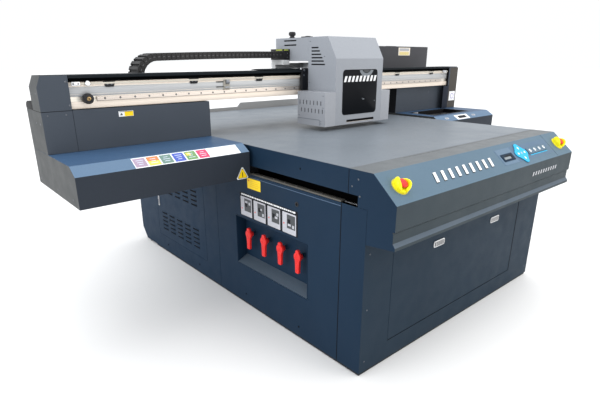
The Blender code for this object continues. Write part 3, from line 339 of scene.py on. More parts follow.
def make_materials():
    for key, (colour, roughness, variation, *gloss) in COATS.items():
        PAINTS[key] = make_coat("coat_" + key, colour, roughness, variation,
            specular=gloss[0] if gloss else 0.25)
    PAINTS["table"] = make_table_material()
    along_x = (2.0, 300.0, 300.0)
    PAINTS["alloy"] = make_brushed("alloy_profile", (0.74, 0.7, 0.63), 0.38, along_x)
    PAINTS["alloy_cool"] = make_brushed("alloy_cool", (0.46, 0.47, 0.48), 0.42, along_x, 0.08, 0.3)
    PAINTS["steel"] = make_brushed("ground_steel", (0.53, 0.48, 0.44), 0.3, along_x)
    PAINTS["drawn"] = make_brushed("drawn_steel", (0.55, 0.55, 0.56), 0.25, (400.0, 3.0, 400.0))
    PAINTS["zinc"] = make_brushed("satin_zinc", (0.66, 0.67, 0.68), 0.34, (300.0, 300.0, 6.0))
    PAINTS["zinc_dark"] = make_brushed("dark_zinc", (0.17, 0.18, 0.2), 0.36, (300.0, 300.0, 6.0))
    PAINTS["warm"] = make_brushed("warm_alloy", (0.86, 0.76, 0.66), 0.42, along_x, 0.05, 0.25)
    PAINTS["brass"] = make_brushed("brass", (0.36, 0.25, 0.12), 0.35, (200.0, 200.0, 200.0))
    PAINTS["glass"] = make_coat("dark_glass", (0.0045, 0.0055, 0.0075), 0.36, 0.05, 0.00001, 0.05)


# ---- Building pieces -----------------------------------------------------------------------
def mesh_data(name, mesh):
    """Mesh data from a bmesh, which is freed."""
    data = bpy.data.meshes.new(name)
    mesh.to_mesh(data)
    mesh.free()
    return data


def pour(mesh, target):
    """Add a finished bmesh to another one."""
    data = mesh_data("part", mesh)
    target.from_mesh(data)
    bpy.data.meshes.remove(data)


def add_object(name, data):
    made = bpy.data.objects.new(name, data)
    bpy.context.scene.collection.objects.link(made)
    return made


def plane(origin, across, up):
    """Frame on a surface: local x across, local y up, local z out of the surface."""
    across = Vector(across).normalized()
    up = Vector(up).normalized()
    frame_matrix = Matrix((across, up, across.cross(up))).transposed().to_4x4()
    frame_matrix.translation = Vector(origin)
    return frame_matrix


def left_at(y, z, x=0.0):
    return plane((x, y, z), (0, -1, 0), (0, 0, 1))


def right_at(y, z, x):
    return plane((x, y, z), (0, 1, 0), (0, 0, 1))


def front_at(x, z, y=0.0):
    return plane((x, y, z), (1, 0, 0), (0, 0, 1))


def back_at(x, z, y):
    return plane((x, y, z), (-1, 0, 0), (0, 0, 1))


def top_at(x, y, z):
    return plane((x, y, z), (1, 0, 0), (0, 1, 0))


def both_sides(y, z, low=0.0, high=WIDTH):
    """The same place on the left and the right side, of the cabinet unless told otherwise."""
    return left_at(y, z, low), right_at(y, z, high)


def grid(at, firsts, seconds, *depth):
    """Places at every pair of two lists of coordinates."""
    return [at(first, second, *depth) for first in firsts for second in seconds]


def shifted(at, x=0.0, y=0.0, z=0.0):
    return at @ Matrix.Translation((x, y, z))


def spun_by(at, degrees):
    return at @ Matrix.Rotation(math.radians(degrees), 4, "Z")


def slope_at(x, distance):
    """On the console's slanted panel, a distance down from its top edge."""
    up = Vector((0, CONSOLE_TOP_FRONT - FASCIA, TABLE_TOP - FASCIA_TOP)).normalized()
    return plane(Vector((x, CONSOLE_TOP_FRONT, TABLE_TOP)) - up * distance, (1, 0, 0), up)


def chamfer_at(x, distance):
    """On a wing's chamfer, a distance up from its bottom edge."""
    up = Vector((0, TRAY_FRONT - WING_FRONT, TRAY_TOP - WING_FACE_TOP)).normalized()
    return plane(Vector((x, WING_FRONT, WING_FACE_TOP)) + up * distance, (1, 0, 0), up)


def rectangle(left, low, right, high):
    return [(left, low), (right, low), (right, high), (left, high)]


def rounded(width, height, radius, steps=4):
    """Outline of a rectangle with round corners, centred on zero."""
    radius = min(radius, width / 2, height / 2)
    if radius <= 0.0:
        return rectangle(-width / 2, -height / 2, width / 2, height / 2)
    points = []
    for corner, (sx, sy) in enumerate(((1, 1), (-1, 1), (-1, -1), (1, -1))):
        for step in range(steps + 1):
            angle = math.radians(90 * (corner + step / steps))
            points.append((sx * (width / 2 - radius) + radius * math.cos(angle),
                sy * (height / 2 - radius) + radius * math.sin(angle)))
    return points


def circle(radius, sides=24, start=0.0, centre=(0.0, 0.0)):
    return [(centre[0] + radius * math.cos(start + math.tau * i / sides),
        centre[1] + radius * math.sin(start + math.tau * i / sides)) for i in range(sides)]


def arc(radius, degrees, x=0.0, y=0.0):
    """Points at the angles given, around (x, y)."""
    return [(x + radius * math.cos(math.radians(turn)), y + radius * math.sin(math.radians(turn)))
            for turn in degrees]


def solid(outline, low, high):
    """Close an outline into a prism along local z."""
    mesh = bmesh.new()
    near = [mesh.verts.new((x, y, low)) for x, y in outline]
    far = [mesh.verts.new((x, y, high)) for x, y in outline]
    mesh.faces.new(list(reversed(near)))
    mesh.faces.new(far)
    for index in range(len(outline)):
        after = (index + 1) % len(outline)
        mesh.faces.new((near[index], near[after], far[after], far[index]))
    bmesh.ops.recalc_face_normals(mesh, faces=mesh.faces)
    return mesh


def soften(mesh, width, segments=2):
    """Round the edges whose two faces turn by more than SHARP_ANGLE."""
    sharp = [edge for edge in mesh.edges
             if len(edge.link_faces) == 2 and edge.calc_face_angle(0.0) > SHARP_ANGLE]
    bmesh.ops.bevel(mesh, geom=sharp, offset=width, segments=segments, profile=0.5,
        affect="EDGES", clamp_overlap=True)


def spun(profile, sides=28):
    """Solid turned about local z from (radius, z) pairs; it starts and ends on the axis."""
    mesh = bmesh.new()
    rings = []
    for radius, z in profile:
        if radius < 1e-7:
            rings.append([mesh.verts.new((0.0, 0.0, z))])
        else:
            rings.append([mesh.verts.new((x, y, z)) for x, y in circle(radius, sides)])
    for lower, upper in zip(rings, rings[1:]):
        for index in range(sides):
            after = (index + 1) % sides
            corners = [lower[index % len(lower)], lower[after % len(lower)],
                upper[after % len(upper)], upper[index % len(upper)]]
            unique = list(dict.fromkeys(corners))
            if len(unique) > 2:
                mesh.faces.new(unique)
    bmesh.ops.recalc_face_normals(mesh, faces=mesh.faces)
    return mesh


PLAIN = Matrix.Identity(4)
SHARP_ANGLE = 0.5
SMOOTH_ANGLE = math.radians(34)
AXES = {
    "x": Matrix(((0, 0, 1, 0), (1, 0, 0, 0), (0, 1, 0, 0), (0, 0, 0, 1))),
    "y": Matrix(((1, 0, 0, 0), (0, 0, 1, 0), (0, 1, 0, 0), (0, 0, 0, 1))),
    "z": PLAIN,
}


class Build:
    """One piece made of many closed solids, each with its own material."""

    def __init__(self, name, body, slot=None):
        self.name = name
        self.body = body
        self.slot = slot
        self.mesh = bmesh.new()
        self.keys = []

    def take(self, mesh, key, frame_matrix=PLAIN, bevel=0.0, segments=2):
        if bevel > 0.0:
            soften(mesh, bevel, segments)
        if key not in self.keys:
            self.keys.append(key)
        bmesh.ops.transform(mesh, matrix=frame_matrix, verts=mesh.verts)
        if frame_matrix.determinant() < 0:
            bmesh.ops.reverse_faces(mesh, faces=mesh.faces)
        for face in mesh.faces:
            face.material_index = self.keys.index(key)
        pour(mesh, self.mesh)

    def box(self, low, high, key, bevel=0.0, segments=2):
        self.take(solid(rectangle(low[0], low[1], high[0], high[1]), low[2], high[2]), key, PLAIN,
            bevel, segments)

    def prism(self, outline, axis, low, high, key, bevel=0.0, segments=2):
        self.take(solid(outline, low, high), key, AXES[axis], bevel, segments)

    def plate(self, at, width, height, thickness, key, radius=0.0, lift=0.0, centre=(0.0, 0.0),
            bevel=0.0):
        outline = [(x + centre[0], y + centre[1]) for x, y in rounded(width, height, radius)]
        self.take(solid(outline, lift, lift + thickness), key, at, bevel)

    def flat(self, at, outline, thickness, key, lift=0.0, bevel=0.0, segments=2):
        self.take(solid(outline, lift, lift + thickness), key, at, bevel, segments)

    def disc(self, at, radius, thickness, key, lift=0.0, centre=(0.0, 0.0), sides=24, bevel=0.0):
        self.take(solid(circle(radius, sides, 0.0, centre), lift, lift + thickness), key, at,
            bevel)

    def turned(self, at, profile, key, sides=28):
        """Solid turned about local z; a profile's open ends are closed onto the axis."""
        first = [] if profile[0][0] == 0.0 else [(0.0, profile[0][1])]
        last = [] if profile[-1][0] == 0.0 else [(0.0, profile[-1][1])]
        self.take(spun(first + profile + last, sides), key, at)

    def screws(self, places, radius, key="zinc_dark"):
        for at in places:
            self.screw(at, radius, key)

    def screw(self, at, radius, key):
        """Button-head screw with a hexagon socket."""
        height = radius * 0.45
        self.turned(at, [(radius, -0.0005), (radius, height * 0.35), (radius * 0.75, height)],
            key, 18)
        # The socket is a thin black hexagon on the head: painted shade for its recess.
        self.flat(at, circle(radius * 0.42, 6), 0.0002, "black_parts_and_shade", height)

    def cam_lock(self, at):
        self.turned(at, [(0.011, 0.0), (0.011, 0.0016), (0.009, 0.003)], "black", 24)
        self.plate(at, 0.0016, 0.008, 0.0003, "zinc", 0.0, 0.003)

    def outline_seam(self, at, width, height):
        """Dark line around a closed panel, a little wider than the panel at top and bottom."""
        for x in (-width / 2, width / 2):
            self.plate(at, 0.0012, height, 0.0004, "black_parts_and_shade", 0.0, 0.0, (x, 0.0))
        for y in (-height / 2, height / 2):
            self.plate(at, width + 0.0012, 0.0012, 0.0004, "black_parts_and_shade", 0.0, 0.0, (0.0, y))

    def thing(self):
        """Turn what was collected into an object in the frame's coordinates."""
        bmesh.ops.translate(self.mesh, verts=self.mesh.verts, vec=ORIGIN)
        data = mesh_data(self.name, self.mesh)
        for key in self.keys:
            data.materials.append(PAINTS[key])
        made = add_object(self.name, data)
        data.shade_smooth()
        data.set_sharp_from_angle(angle=SMOOTH_ANGLE)
        return made

    def done(self, *stands_for):
        made = self.thing()
        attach(made, self.body)
        if stands_for:
            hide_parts(*stands_for)
        return made


def add_softening(thing, width, segments=2):
    """Weld, merge flat triangles and round the sharp edges of a sheet-metal shape."""
    weld = thing.modifiers.new("weld", "WELD")
    weld.merge_threshold = 0.00002
    merge = thing.modifiers.new("merge", "DECIMATE")
    merge.decimate_type = "DISSOLVE"
    merge.angle_limit = math.radians(1.0)
    merge.delimit = {"MATERIAL"}
    bevel = thing.modifiers.new("bevel", "BEVEL")
    bevel.width = width
    bevel.segments = segments
    bevel.limit_method = "ANGLE"
    bevel.angle_limit = math.radians(30.0)
    bevel.harden_normals = True


def facing(normal):
    """Which way a face looks: top, under, slope, front, back or end."""
    if normal.z > 0.95:
        return "top"
    if normal.z > 0.25 and normal.y < -0.2:
        return "slope"
    if normal.z < -0.3:
        return "under"
    if normal.y < -0.7:
        return "front"
    if normal.y > 0.7:
        return "back"
    return "end" if normal.x < 0 else "far_end"


def paint_faces(thing, default, by_facing):
    """Materials of a sheet-metal shape: one coat, with another on faces that look one way.
    The other coats are mostly lighter and darker copies of one paint: painted light and shade
    for how light falls on each face.
    """
    data = thing.data
    data.materials.clear()
    keys = [default]
    for key in by_facing.values():
        if key not in keys:
            keys.append(key)
    for key in keys:
        data.materials.append(PAINTS[key])
    for polygon in data.polygons:
        key = by_facing.get(facing(polygon.normal), default)
        polygon.material_index = keys.index(key)
    if "custom_normal" in data.attributes:
        data.attributes.remove(data.attributes["custom_normal"])
    data.shade_smooth()
    data.set_sharp_from_angle(angle=SMOOTH_ANGLE)


def recut(node, body, slot, default, openings, soft=0.0006, **by_facing):
    """A copy of a node with openings cut through it stands for the node."""
    cutter_mesh = bmesh.new()
    for outline, matrix, low, high in openings:
        part = solid(outline, low, high)
        bmesh.ops.transform(part, matrix=Matrix.Translation(ORIGIN) @ matrix, verts=part.verts)
        bmesh.ops.recalc_face_normals(part, faces=part.faces)
        pour(part, cutter_mesh)
    cutter = add_object("cutter", mesh_data("cutter", cutter_mesh))
    made = add_object(node + "_pierced", NODES[node].data.copy())
    boolean = made.modifiers.new("openings", "BOOLEAN")
    boolean.operation = "DIFFERENCE"
    boolean.solver = "EXACT"
    boolean.object = cutter
    bpy.context.view_layer.update()
    graph = bpy.context.evaluated_depsgraph_get()
    result = bpy.data.meshes.new_from_object(made.evaluated_get(graph))
    made.modifiers.clear()
    made.data = result
    bpy.data.objects.remove(cutter)
    paint_faces(made, default, by_facing)
    add_softening(made, soft)
    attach(made, body)
    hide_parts(node)


def opening(at, width, height, depth=0.004, radius=0.0, centre=(0.0, 0.0)):
    """A rounded hole through a sheet whose outer face is the plane given."""
    outline = [(x + centre[0], y + centre[1]) for x, y in rounded(width, height, radius, 3)]
    return (outline, at, -depth, depth * 0.5)


# ---- Console -------------------------------------------------------------------------------
STOP_X = {"left": 0.078, "right": 1.412}
STOP_DISTANCE = 0.0745
KEY_DISTANCE = 0.0745
PAD_X = 1.003


GUARD_TURN = 156
GUARD_SPREAD = 66
GUARD_PROFILE = [(0.0215, 0.008), (0.0322, 0.008), (0.0332, 0.018), (0.032, 0.0265),
    (0.029, 0.033), (0.0258, 0.0352), (0.0228, 0.0338), (0.0215, 0.03)]


def guard_lobe():
    """One wall of the guard: tallest in its middle and falling away to both ends."""
    mesh = bmesh.new()
    base = GUARD_PROFILE[0][1]
    sections = []
    for angle in range(-GUARD_SPREAD, GUARD_SPREAD + 1, 4):
        share = max(0.1, math.cos(math.pi / 2 * angle / GUARD_SPREAD)) ** 0.38
        turn = math.radians(angle)
        sections.append([mesh.verts.new((radius * math.cos(turn), radius * math.sin(turn),
            base + (z - base) * share)) for radius, z in GUARD_PROFILE])
    sides = len(GUARD_PROFILE)
    for near, far in zip(sections, sections[1:]):
        for index in range(sides):
            after = (index + 1) % sides
            mesh.faces.new((near[index], near[after], far[after], far[index]))
    mesh.faces.new(sections[0][::-1])
    mesh.faces.new(sections[-1])
    bmesh.ops.recalc_face_normals(mesh, faces=mesh.faces)
    return mesh


def slanted(width, height, lean):
    return [(-width / 2 - lean, -height / 2), (width / 2 - lean, -height / 2),
            (width / 2 + lean, height / 2), (-width / 2 + lean, height / 2)]


def stripe_mark(build, at, count, pitch, width, height, thickness, lift=0.0, shade=True,
        key="white"):
    """Row of equal slanted blocks: a plain stripe in place of a nameplate."""
    outline = slanted(width, height, height * 0.16)
    for index in range(count):
        place = shifted(at, (index - (count - 1) / 2) * pitch)
        if shade:
            build.flat(shifted(place, -0.0028, -0.0026), outline, thickness * 0.5, "black", lift)
        build.flat(place, outline, thickness, key, lift)


def make_console_details():
    marks = Build("console_marks", "base", "light_paint")
    stripe_mark(marks, slope_at(0.505, 0.078), 9, 0.052, 0.0165, 0.044, 0.003)
    stripe_mark(marks, front_at(1.18, 0.7125, FASCIA), 10, 0.028, 0.012, 0.018, 0.001,
        key="grey_print")
    marks.done()

    overlay = Build("keypad_overlay", "base", "blue_paint")
    overlay.plate(slope_at(1.06, 0.0705), 0.52, 0.089, 0.0004, "overlay", 0.004)
    overlay.plate(slope_at(0.8715, 0.0705), 0.128, 0.086, 0.0008, "overlay_pale", 0.004)
    overlay.done()

    display = Build("display", "base", "black")
    at = slope_at(0.8715, 0.077)
    display.plate(at, 0.105, 0.04, 0.0025, "side", 0.003, 0.0006, bevel=0.0006)
    display.plate(at, 0.088, 0.028, 0.0004, "front", 0.001, 0.0031)
    display.plate(at, 0.058, 0.012, 0.0003, "screen", 0.0, 0.0035, (-0.01, -0.004))
    display.plate(at, 0.056, 0.007, 0.0003, "board", 0.0, 0.0035, (0.004, 0.0075))
    display.plate(at, 0.009, 0.018, 0.0003, "board", 0.0, 0.0035, (0.03, 0.001))
    display.done()

    arrows = Build("arrow_marks", "arrow_pad", "light_paint")
    arrow = [(0.0, 0.008), (-0.0075, -0.001), (-0.003, -0.001), (-0.003, -0.008), (0.003, -0.008),
        (0.003, -0.001), (0.0075, -0.001)]
    for angle, x, distance in ((0, PAD_X, 0.0455), (270, 1.033, KEY_DISTANCE),
            (90, 0.973, KEY_DISTANCE), (180, PAD_X, 0.1045)):
        arrows.flat(spun_by(slope_at(x, distance), angle), arrow, 0.0004, "white", 0.0049)
    arrows.disc(slope_at(PAD_X, KEY_DISTANCE), 0.006, 0.0004, "grey_print", 0.0049)
    arrows.done()

    keys = Build("key_faces", "function_keys", "light_paint")
    for index, x in enumerate((1.092, 1.141, 1.19, 1.239)):
        at = slope_at(x, KEY_DISTANCE)
        keys.plate(at, 0.036, 0.028, 0.0008, "slope", 0.005, 0.0049, bevel=0.0004)
        keys.flat(at, circle(0.009, 18), 0.0004, "white", 0.0057)
        keys.flat(at, circle(0.0055, 18), 0.0003, "slope", 0.0061)
        keys.plate(at, 0.0035, 0.013 - 0.002 * (index % 2), 0.0004, "white", 0.0, 0.0062)
    keys.done()
    line = Build("key_underline", "base", "cyan")
    line.plate(slope_at(1.168, 0.0965), 0.186, 0.0045, 0.0004, "cyan", 0.002, 0.0006)
    line.done()

    for side, x in STOP_X.items():
        at = slope_at(x, STOP_DISTANCE)
        button = Build("estop_mushroom_" + side, "estop_button_" + side, "red")
        button.turned(at, [(0.0105, 0.016), (0.0105, 0.018), (0.0176, 0.018), (0.019, 0.0195),
            (0.019, 0.0222), (0.0176, 0.0248), (0.0138, 0.0266), (0.008, 0.0276), (0.0, 0.0278)],
            "red", 32)
        button.done("estop_button_" + side)
        guard = Build("estop_guard_" + side, "base", "yellow")
        guard.turned(at, [(0.0322, 0.0), (0.0322, 0.008), (0.03, 0.0115), (0.0245, 0.0115),
            (0.0235, 0.0105)], "yellow", 40)
        for turn in (GUARD_TURN, GUARD_TURN + 180):
            guard.take(guard_lobe(), "yellow", spun_by(at, turn))
        guard.done("estop_shroud_" + side)
        ring = Build("estop_base_" + side, "base", "yellow")
        ring.turned(at, [(0.0355, 0.0), (0.0355, 0.001), (0.0345, 0.0018)], "yellow_soft", 36)
        ring.done()

    seams = Build("console_seams", "base", "black")
    seams.plate(slope_at(1.322, 0.0722), 0.0011, 0.142, 0.0004, "black_parts_and_shade")
    seams.box((0.3, CONSOLE_TOP_FRONT + 0.0995, TABLE_TOP - 0.0005), (WIDTH - 0.002,
        CONSOLE_TOP_FRONT + 0.1008, TABLE_TOP + 0.0002), "black_parts_and_shade")
    seams.done()

    bolts = Build("console_screws", "base", "zinc")
    for y, z in ((0.048, 0.826), (0.038, 0.764), (0.078, 0.795)):
        bolts.screws(both_sides(y, z), 0.0035)
    bolts.done()


def make_front_details():
    gasket = Build("front_door_gasket", "base", "rubber")
    low, high = low_of("front_door"), high_of("front_door")
    edge, gap = 0.0017, 0.0013
    gasket.box((high.x + gap, -0.0004, low.z - gap - edge), (high.x + gap + edge * 2.4, 0.0004,
        high.z), "black_parts_and_shade")
    gasket.box((low.x - gap, -0.0004, low.z - gap - edge), (high.x + gap, 0.0004, low.z - gap),
        "black_parts_and_shade")
    gasket.done()
    for side, x in (("left", 0.4985), ("right", 0.994)):
        latch = Build("latch_face_" + side, "front_latch_" + side, "zinc")
        at = front_at(x, 0.465, -0.0005)
        latch.plate(at, 0.083, 0.03, 0.003, "zinc", 0.008, 0.0, bevel=0.0008)
        latch.plate(at, 0.074, 0.022, 0.0015, "latch_face", 0.004, 0.0029, bevel=0.0005)
        for row in range(4):
            latch.plate(at, 0.058, 0.002, 0.0004, "dark_print", 0.001, 0.0044,
                (0.006, -0.0075 + row * 0.005))
        latch.plate(at, 0.005, 0.018, 0.0005, "dark_print", 0.002, 0.0043, (-0.032, 0.0))
        latch.done("front_latch_" + side)
    screws = Build("front_screws", "base", "zinc")
    screws.screws(grid(front_at, (0.03, WIDTH - 0.03), (0.06, 0.3, 0.54)), 0.0032)
    screws.done()


# ---- Left side -----------------------------------------------------------------------------
VALVE_Y = (0.404, 0.53, 0.656, 0.782)
VALVE_Z = 0.397
PLACARD_Y = (0.766, 0.657, 0.548, 0.4385)


def make_placards():
    board = Build("instruction_board", "base", "black")
    board.plate(left_at(0.601, 0.56), 0.438, 0.118, 0.0008, "board", 0.003)
    rng = random.Random(5)
    x = -0.205
    while x < 0.198:
        length = rng.uniform(0.006, 0.016)
        board.plate(left_at(0.601, 0.6115), length, 0.007, 0.0003, "white", 0.0, 0.0008,
            (x + length / 2, 0.0))
        x += length + 0.0035
    for index, y in enumerate(PLACARD_Y):
        at = left_at(y, 0.552)
        board.plate(at, 0.093, 0.096, 0.001, "placard", 0.003, 0.0008, bevel=0.0004)
        top = 0.0018
        board.plate(at, 0.056, 0.064, 0.0003, "dark_print", 0.0, top, (0.013, 0.009))
        board.plate(at, 0.014, 0.014, 0.0002, "grey_print", 0.0, top + 0.0003,
            (0.028, 0.02 - 0.03 * (index % 2)))
        board.plate(at, 0.02, 0.01, 0.0002, "placard", 0.0, top + 0.0003,
            (0.002 + 0.008 * (index % 3), 0.024 - 0.01 * index))
        board.plate(at, 0.018, 0.02, 0.0002, "board", 0.0, top + 0.0003, (0.0, 0.01))
        for row in range(6):
            board.plate(at, 0.024 - 0.003 * (row % 3), 0.0022, 0.0002, "grey_print", 0.0, top,
                (-0.031, 0.036 - row * 0.0095))
        for row in range(3):
            board.plate(at, 0.076 - 0.01 * row, 0.0022, 0.0002, "grey_print", 0.0, top,
                (0.002 - 0.005 * row, -0.0265 - row * 0.0075))
        board.disc(at, 0.004, 0.0003, "red", top, (-0.036, -0.014 + 0.003 * index), 14)
    board.done()

    sticker = Build("yellow_sticker", "base", "yellow")
    at = left_at(0.6995, 0.6765)
    sticker.plate(at, 0.105, 0.051, 0.0004, "label_yellow", 0.002)
    sticker.disc(at, 0.0045, 0.0002, "red", 0.0004, (-0.04, 0.014), 16)
    for row in range(4):
        sticker.plate(at, 0.07 - 0.008 * (row % 2), 0.0018, 0.0002, "label_amber", 0.0, 0.0004,
            (0.008 - 0.004 * (row % 2), 0.014 - row * 0.009))
    sticker.done()


def make_handles():
    for number, y in enumerate(VALVE_Y, 1):
        handle = Build("valve_lever_" + str(number), "valve_handle_" + str(number), "red")
        at = left_at(y, VALVE_Z, 0.026)
        half = [(0.0, 0.0345), (0.0052, 0.0338), (0.0096, 0.0305), (0.0112, 0.025),
            (0.0108, 0.02), (0.0155, 0.0165), (0.0208, 0.0095), (0.0222, 0.0), (0.0205, -0.009),
            (0.015, -0.0165), (0.0138, -0.027), (0.0124, -0.05), (0.012, -0.072),
            (0.0106, -0.077), (0.008, -0.079)]
        lever = half + [(-x, y) for x, y in reversed(half[1:])]
        handle.flat(at, lever[::-1], 0.013, "red", 0.0, 0.0032, 3)
        handle.turned(at, [(0.0135, -0.0138), (0.0175, 0.0), (0.018, 0.0125), (0.016, 0.0146),
            (0.0085, 0.0149), (0.0085, 0.014)], "red", 32)
        handle.flat(at, circle(0.004, 6), 0.0006, "red", 0.014, 0.0002)
        for row in range(6):
            handle.plate(at, 0.015, 0.0022, 0.0011, "red", 0.001, 0.0125,
                (0.0, -0.03 - row * 0.0062), 0.0004)
        handle.plate(at, 0.01, 0.004, 0.001, "red", 0.0015, 0.0126, (0.0, 0.0235), 0.0004)
        handle.done("valve_handle_" + str(number))
    collars = Build("valve_collars", "base", "black")
    for y in VALVE_Y:
        at = left_at(y, VALVE_Z, 0.062)
        collars.turned(at, [(0.013, 0.0), (0.013, 0.002), (0.0095, 0.004), (0.0095, 0.0195)],
            "side", 28)
        collars.flat(at, circle(0.0115, 6, 0.3), 0.0035, "front", 0.0065, 0.0005)
    collars.done()


def louvre_places():
    """Louvre rows on the side door, as (y, z) of each slot's middle."""
    return [(1.305 + column * 0.103, group + row * 0.0277)
            for group in (0.178, 0.442) for column in range(5) for row in range(5)]


def make_side_door():
    slots = [opening(left_at(y, z - 0.0072), 0.07, 0.0108) for y, z in louvre_places()]
    recut("side_door", "side_door", "blue_paint", "side", slots, 0.0004)
    hoods = Build("side_door_louvres", "side_door", "blue_paint")
    for y, z in louvre_places():
        outline = [(-0.0001, z + 0.005), (-0.0028, z - 0.001), (-0.0024, z - 0.0016),
            (-0.0001, z - 0.0016)]
        hoods.prism(outline, "y", y - 0.0345, y + 0.0345, "side", 0.0004, 1)
    hoods.done()
    # Black sheets behind the louvre slots: painted shade for the dark inside of the door.
    liner = Build("side_door_shade_liner", "side_door", "black")
    for middle in (0.2274, 0.4914):
        liner.plate(left_at(1.511, middle), 0.52, 0.15, 0.0008, "black_parts_and_shade", 0.0, -0.0036)
    liner.done()


def make_lock_and_latch():
    latch = Build("side_latch_face", "side_latch", "zinc")
    at = left_at(1.785, 0.3535, -0.0005)
    latch.plate(at, 0.018, 0.065, 0.0028, "latch_face", 0.005, 0.0, bevel=0.0008)
    latch.plate(at, 0.011, 0.04, 0.0014, "zinc_dark", 0.003, 0.0027, (0.0, -0.006), 0.0005)
    latch.disc(at, 0.0045, 0.0016, "zinc_dark", 0.0027, (0.0, 0.0235), 18, 0.0003)
    latch.done("side_latch")
    lock = Build("side_lock", "base", "black")
    at = left_at(0.388, 0.653)
    radius = 0.011
    lock.turned(at, [(radius, 0.0), (radius, 0.0014), (radius * 0.8, 0.0026)], "black", 24)
    lock.disc(at, radius * 0.55, 0.001, "black_parts_and_shade", 0.0025, sides=20, bevel=0.0002)
    # The thin black slot is painted shade for the keyway.
    lock.plate(at, 0.0016, 0.0075, 0.0003, "black_parts_and_shade", 0.0, 0.0035)
    lock.done()


def make_side_screws():
    screws = Build("cabinet_screws", "base", "zinc")
    for z, radius, places in ((0.06, 0.0048, (0.375, 0.798, 1.289, 1.707)), (0.811, 0.004,
            (0.367, 0.9, 1.43, 1.96))):
        for y in places:
            screws.screws(both_sides(y, z), radius, "black_parts_and_shade")
    screws.screws(grid(right_at, (0.15, 1.03, 1.064, 2.085), (0.2, 0.43, 0.66), WIDTH), 0.003)
    screws.done()


def make_side_seams():
    seams = Build("side_seams", "base", "black")
    seams.box((-0.0004, 0.1262, 0.013), (0.0004, 0.13, 0.719), "black_parts_and_shade")
    skirt = low_of("table_skirt_left")
    seams.box((-0.0004, skirt.y - 0.0024, skirt.z + 0.001), (0.0004, skirt.y, TABLE_TOP - 0.002),
        "black_parts_and_shade")
    seams.done()


def make_leg_slots():
    """Rail ledge, black liner sheets and bolts inside the long slot that the gantry's legs run in.
    """
    ledge = Build("slot_ledges", "base", "alloy")
    liner = Build("slot_shade_liners", "base", "black")
    for mirror in (False, True):
        def place(low, high):
            if mirror:
                return (WIDTH - high[0], low[1], low[2]), (WIDTH - low[0], high[1], high[2])
            return low, high
        low, high = place((0.003, 0.135, SLOT_BOTTOM), (0.028, 2.06, SLOT_BOTTOM + 0.006))
        ledge.box(low, high, "ledge", 0.0008)
        # A lighter blue strip along the side panel's top edge: painted highlight on its bend.
        low, high = place((-0.0008, 0.131, 0.706), (0.0001, 2.04, 0.7085))
        ledge.box(low, high, "edge_highlight", 0.0003)
        # Black sheets lining the slot: painted shade for its dark inside.
        low, high = place((0.2, 0.12, SLOT_BOTTOM - 0.09), (0.203, 2.03, 0.84))
        liner.box(low, high, "black_parts_and_shade", 0.0005)
        low, high = place((0.022, 0.12, 0.765), (0.2, 2.03, 0.767))
        liner.box(low, high, "black_parts_and_shade", 0.0005)
        y = 0.175
        while y < 2.04:
            x = 0.0155 if not mirror else WIDTH - 0.0155
            ledge.turned(top_at(x, y, SLOT_BOTTOM + 0.006), [(0.0042, -0.0002), (0.0042, 0.0005),
                (0.0034, 0.0009)], "zinc", 16)
            y += 0.078
    ledge.done()
    liner.done()


# ---- Gantry --------------------------------------------------------------------------------
SQUARES = ("mauve", "orange", "sage", "indigo", "leaf", "crimson")


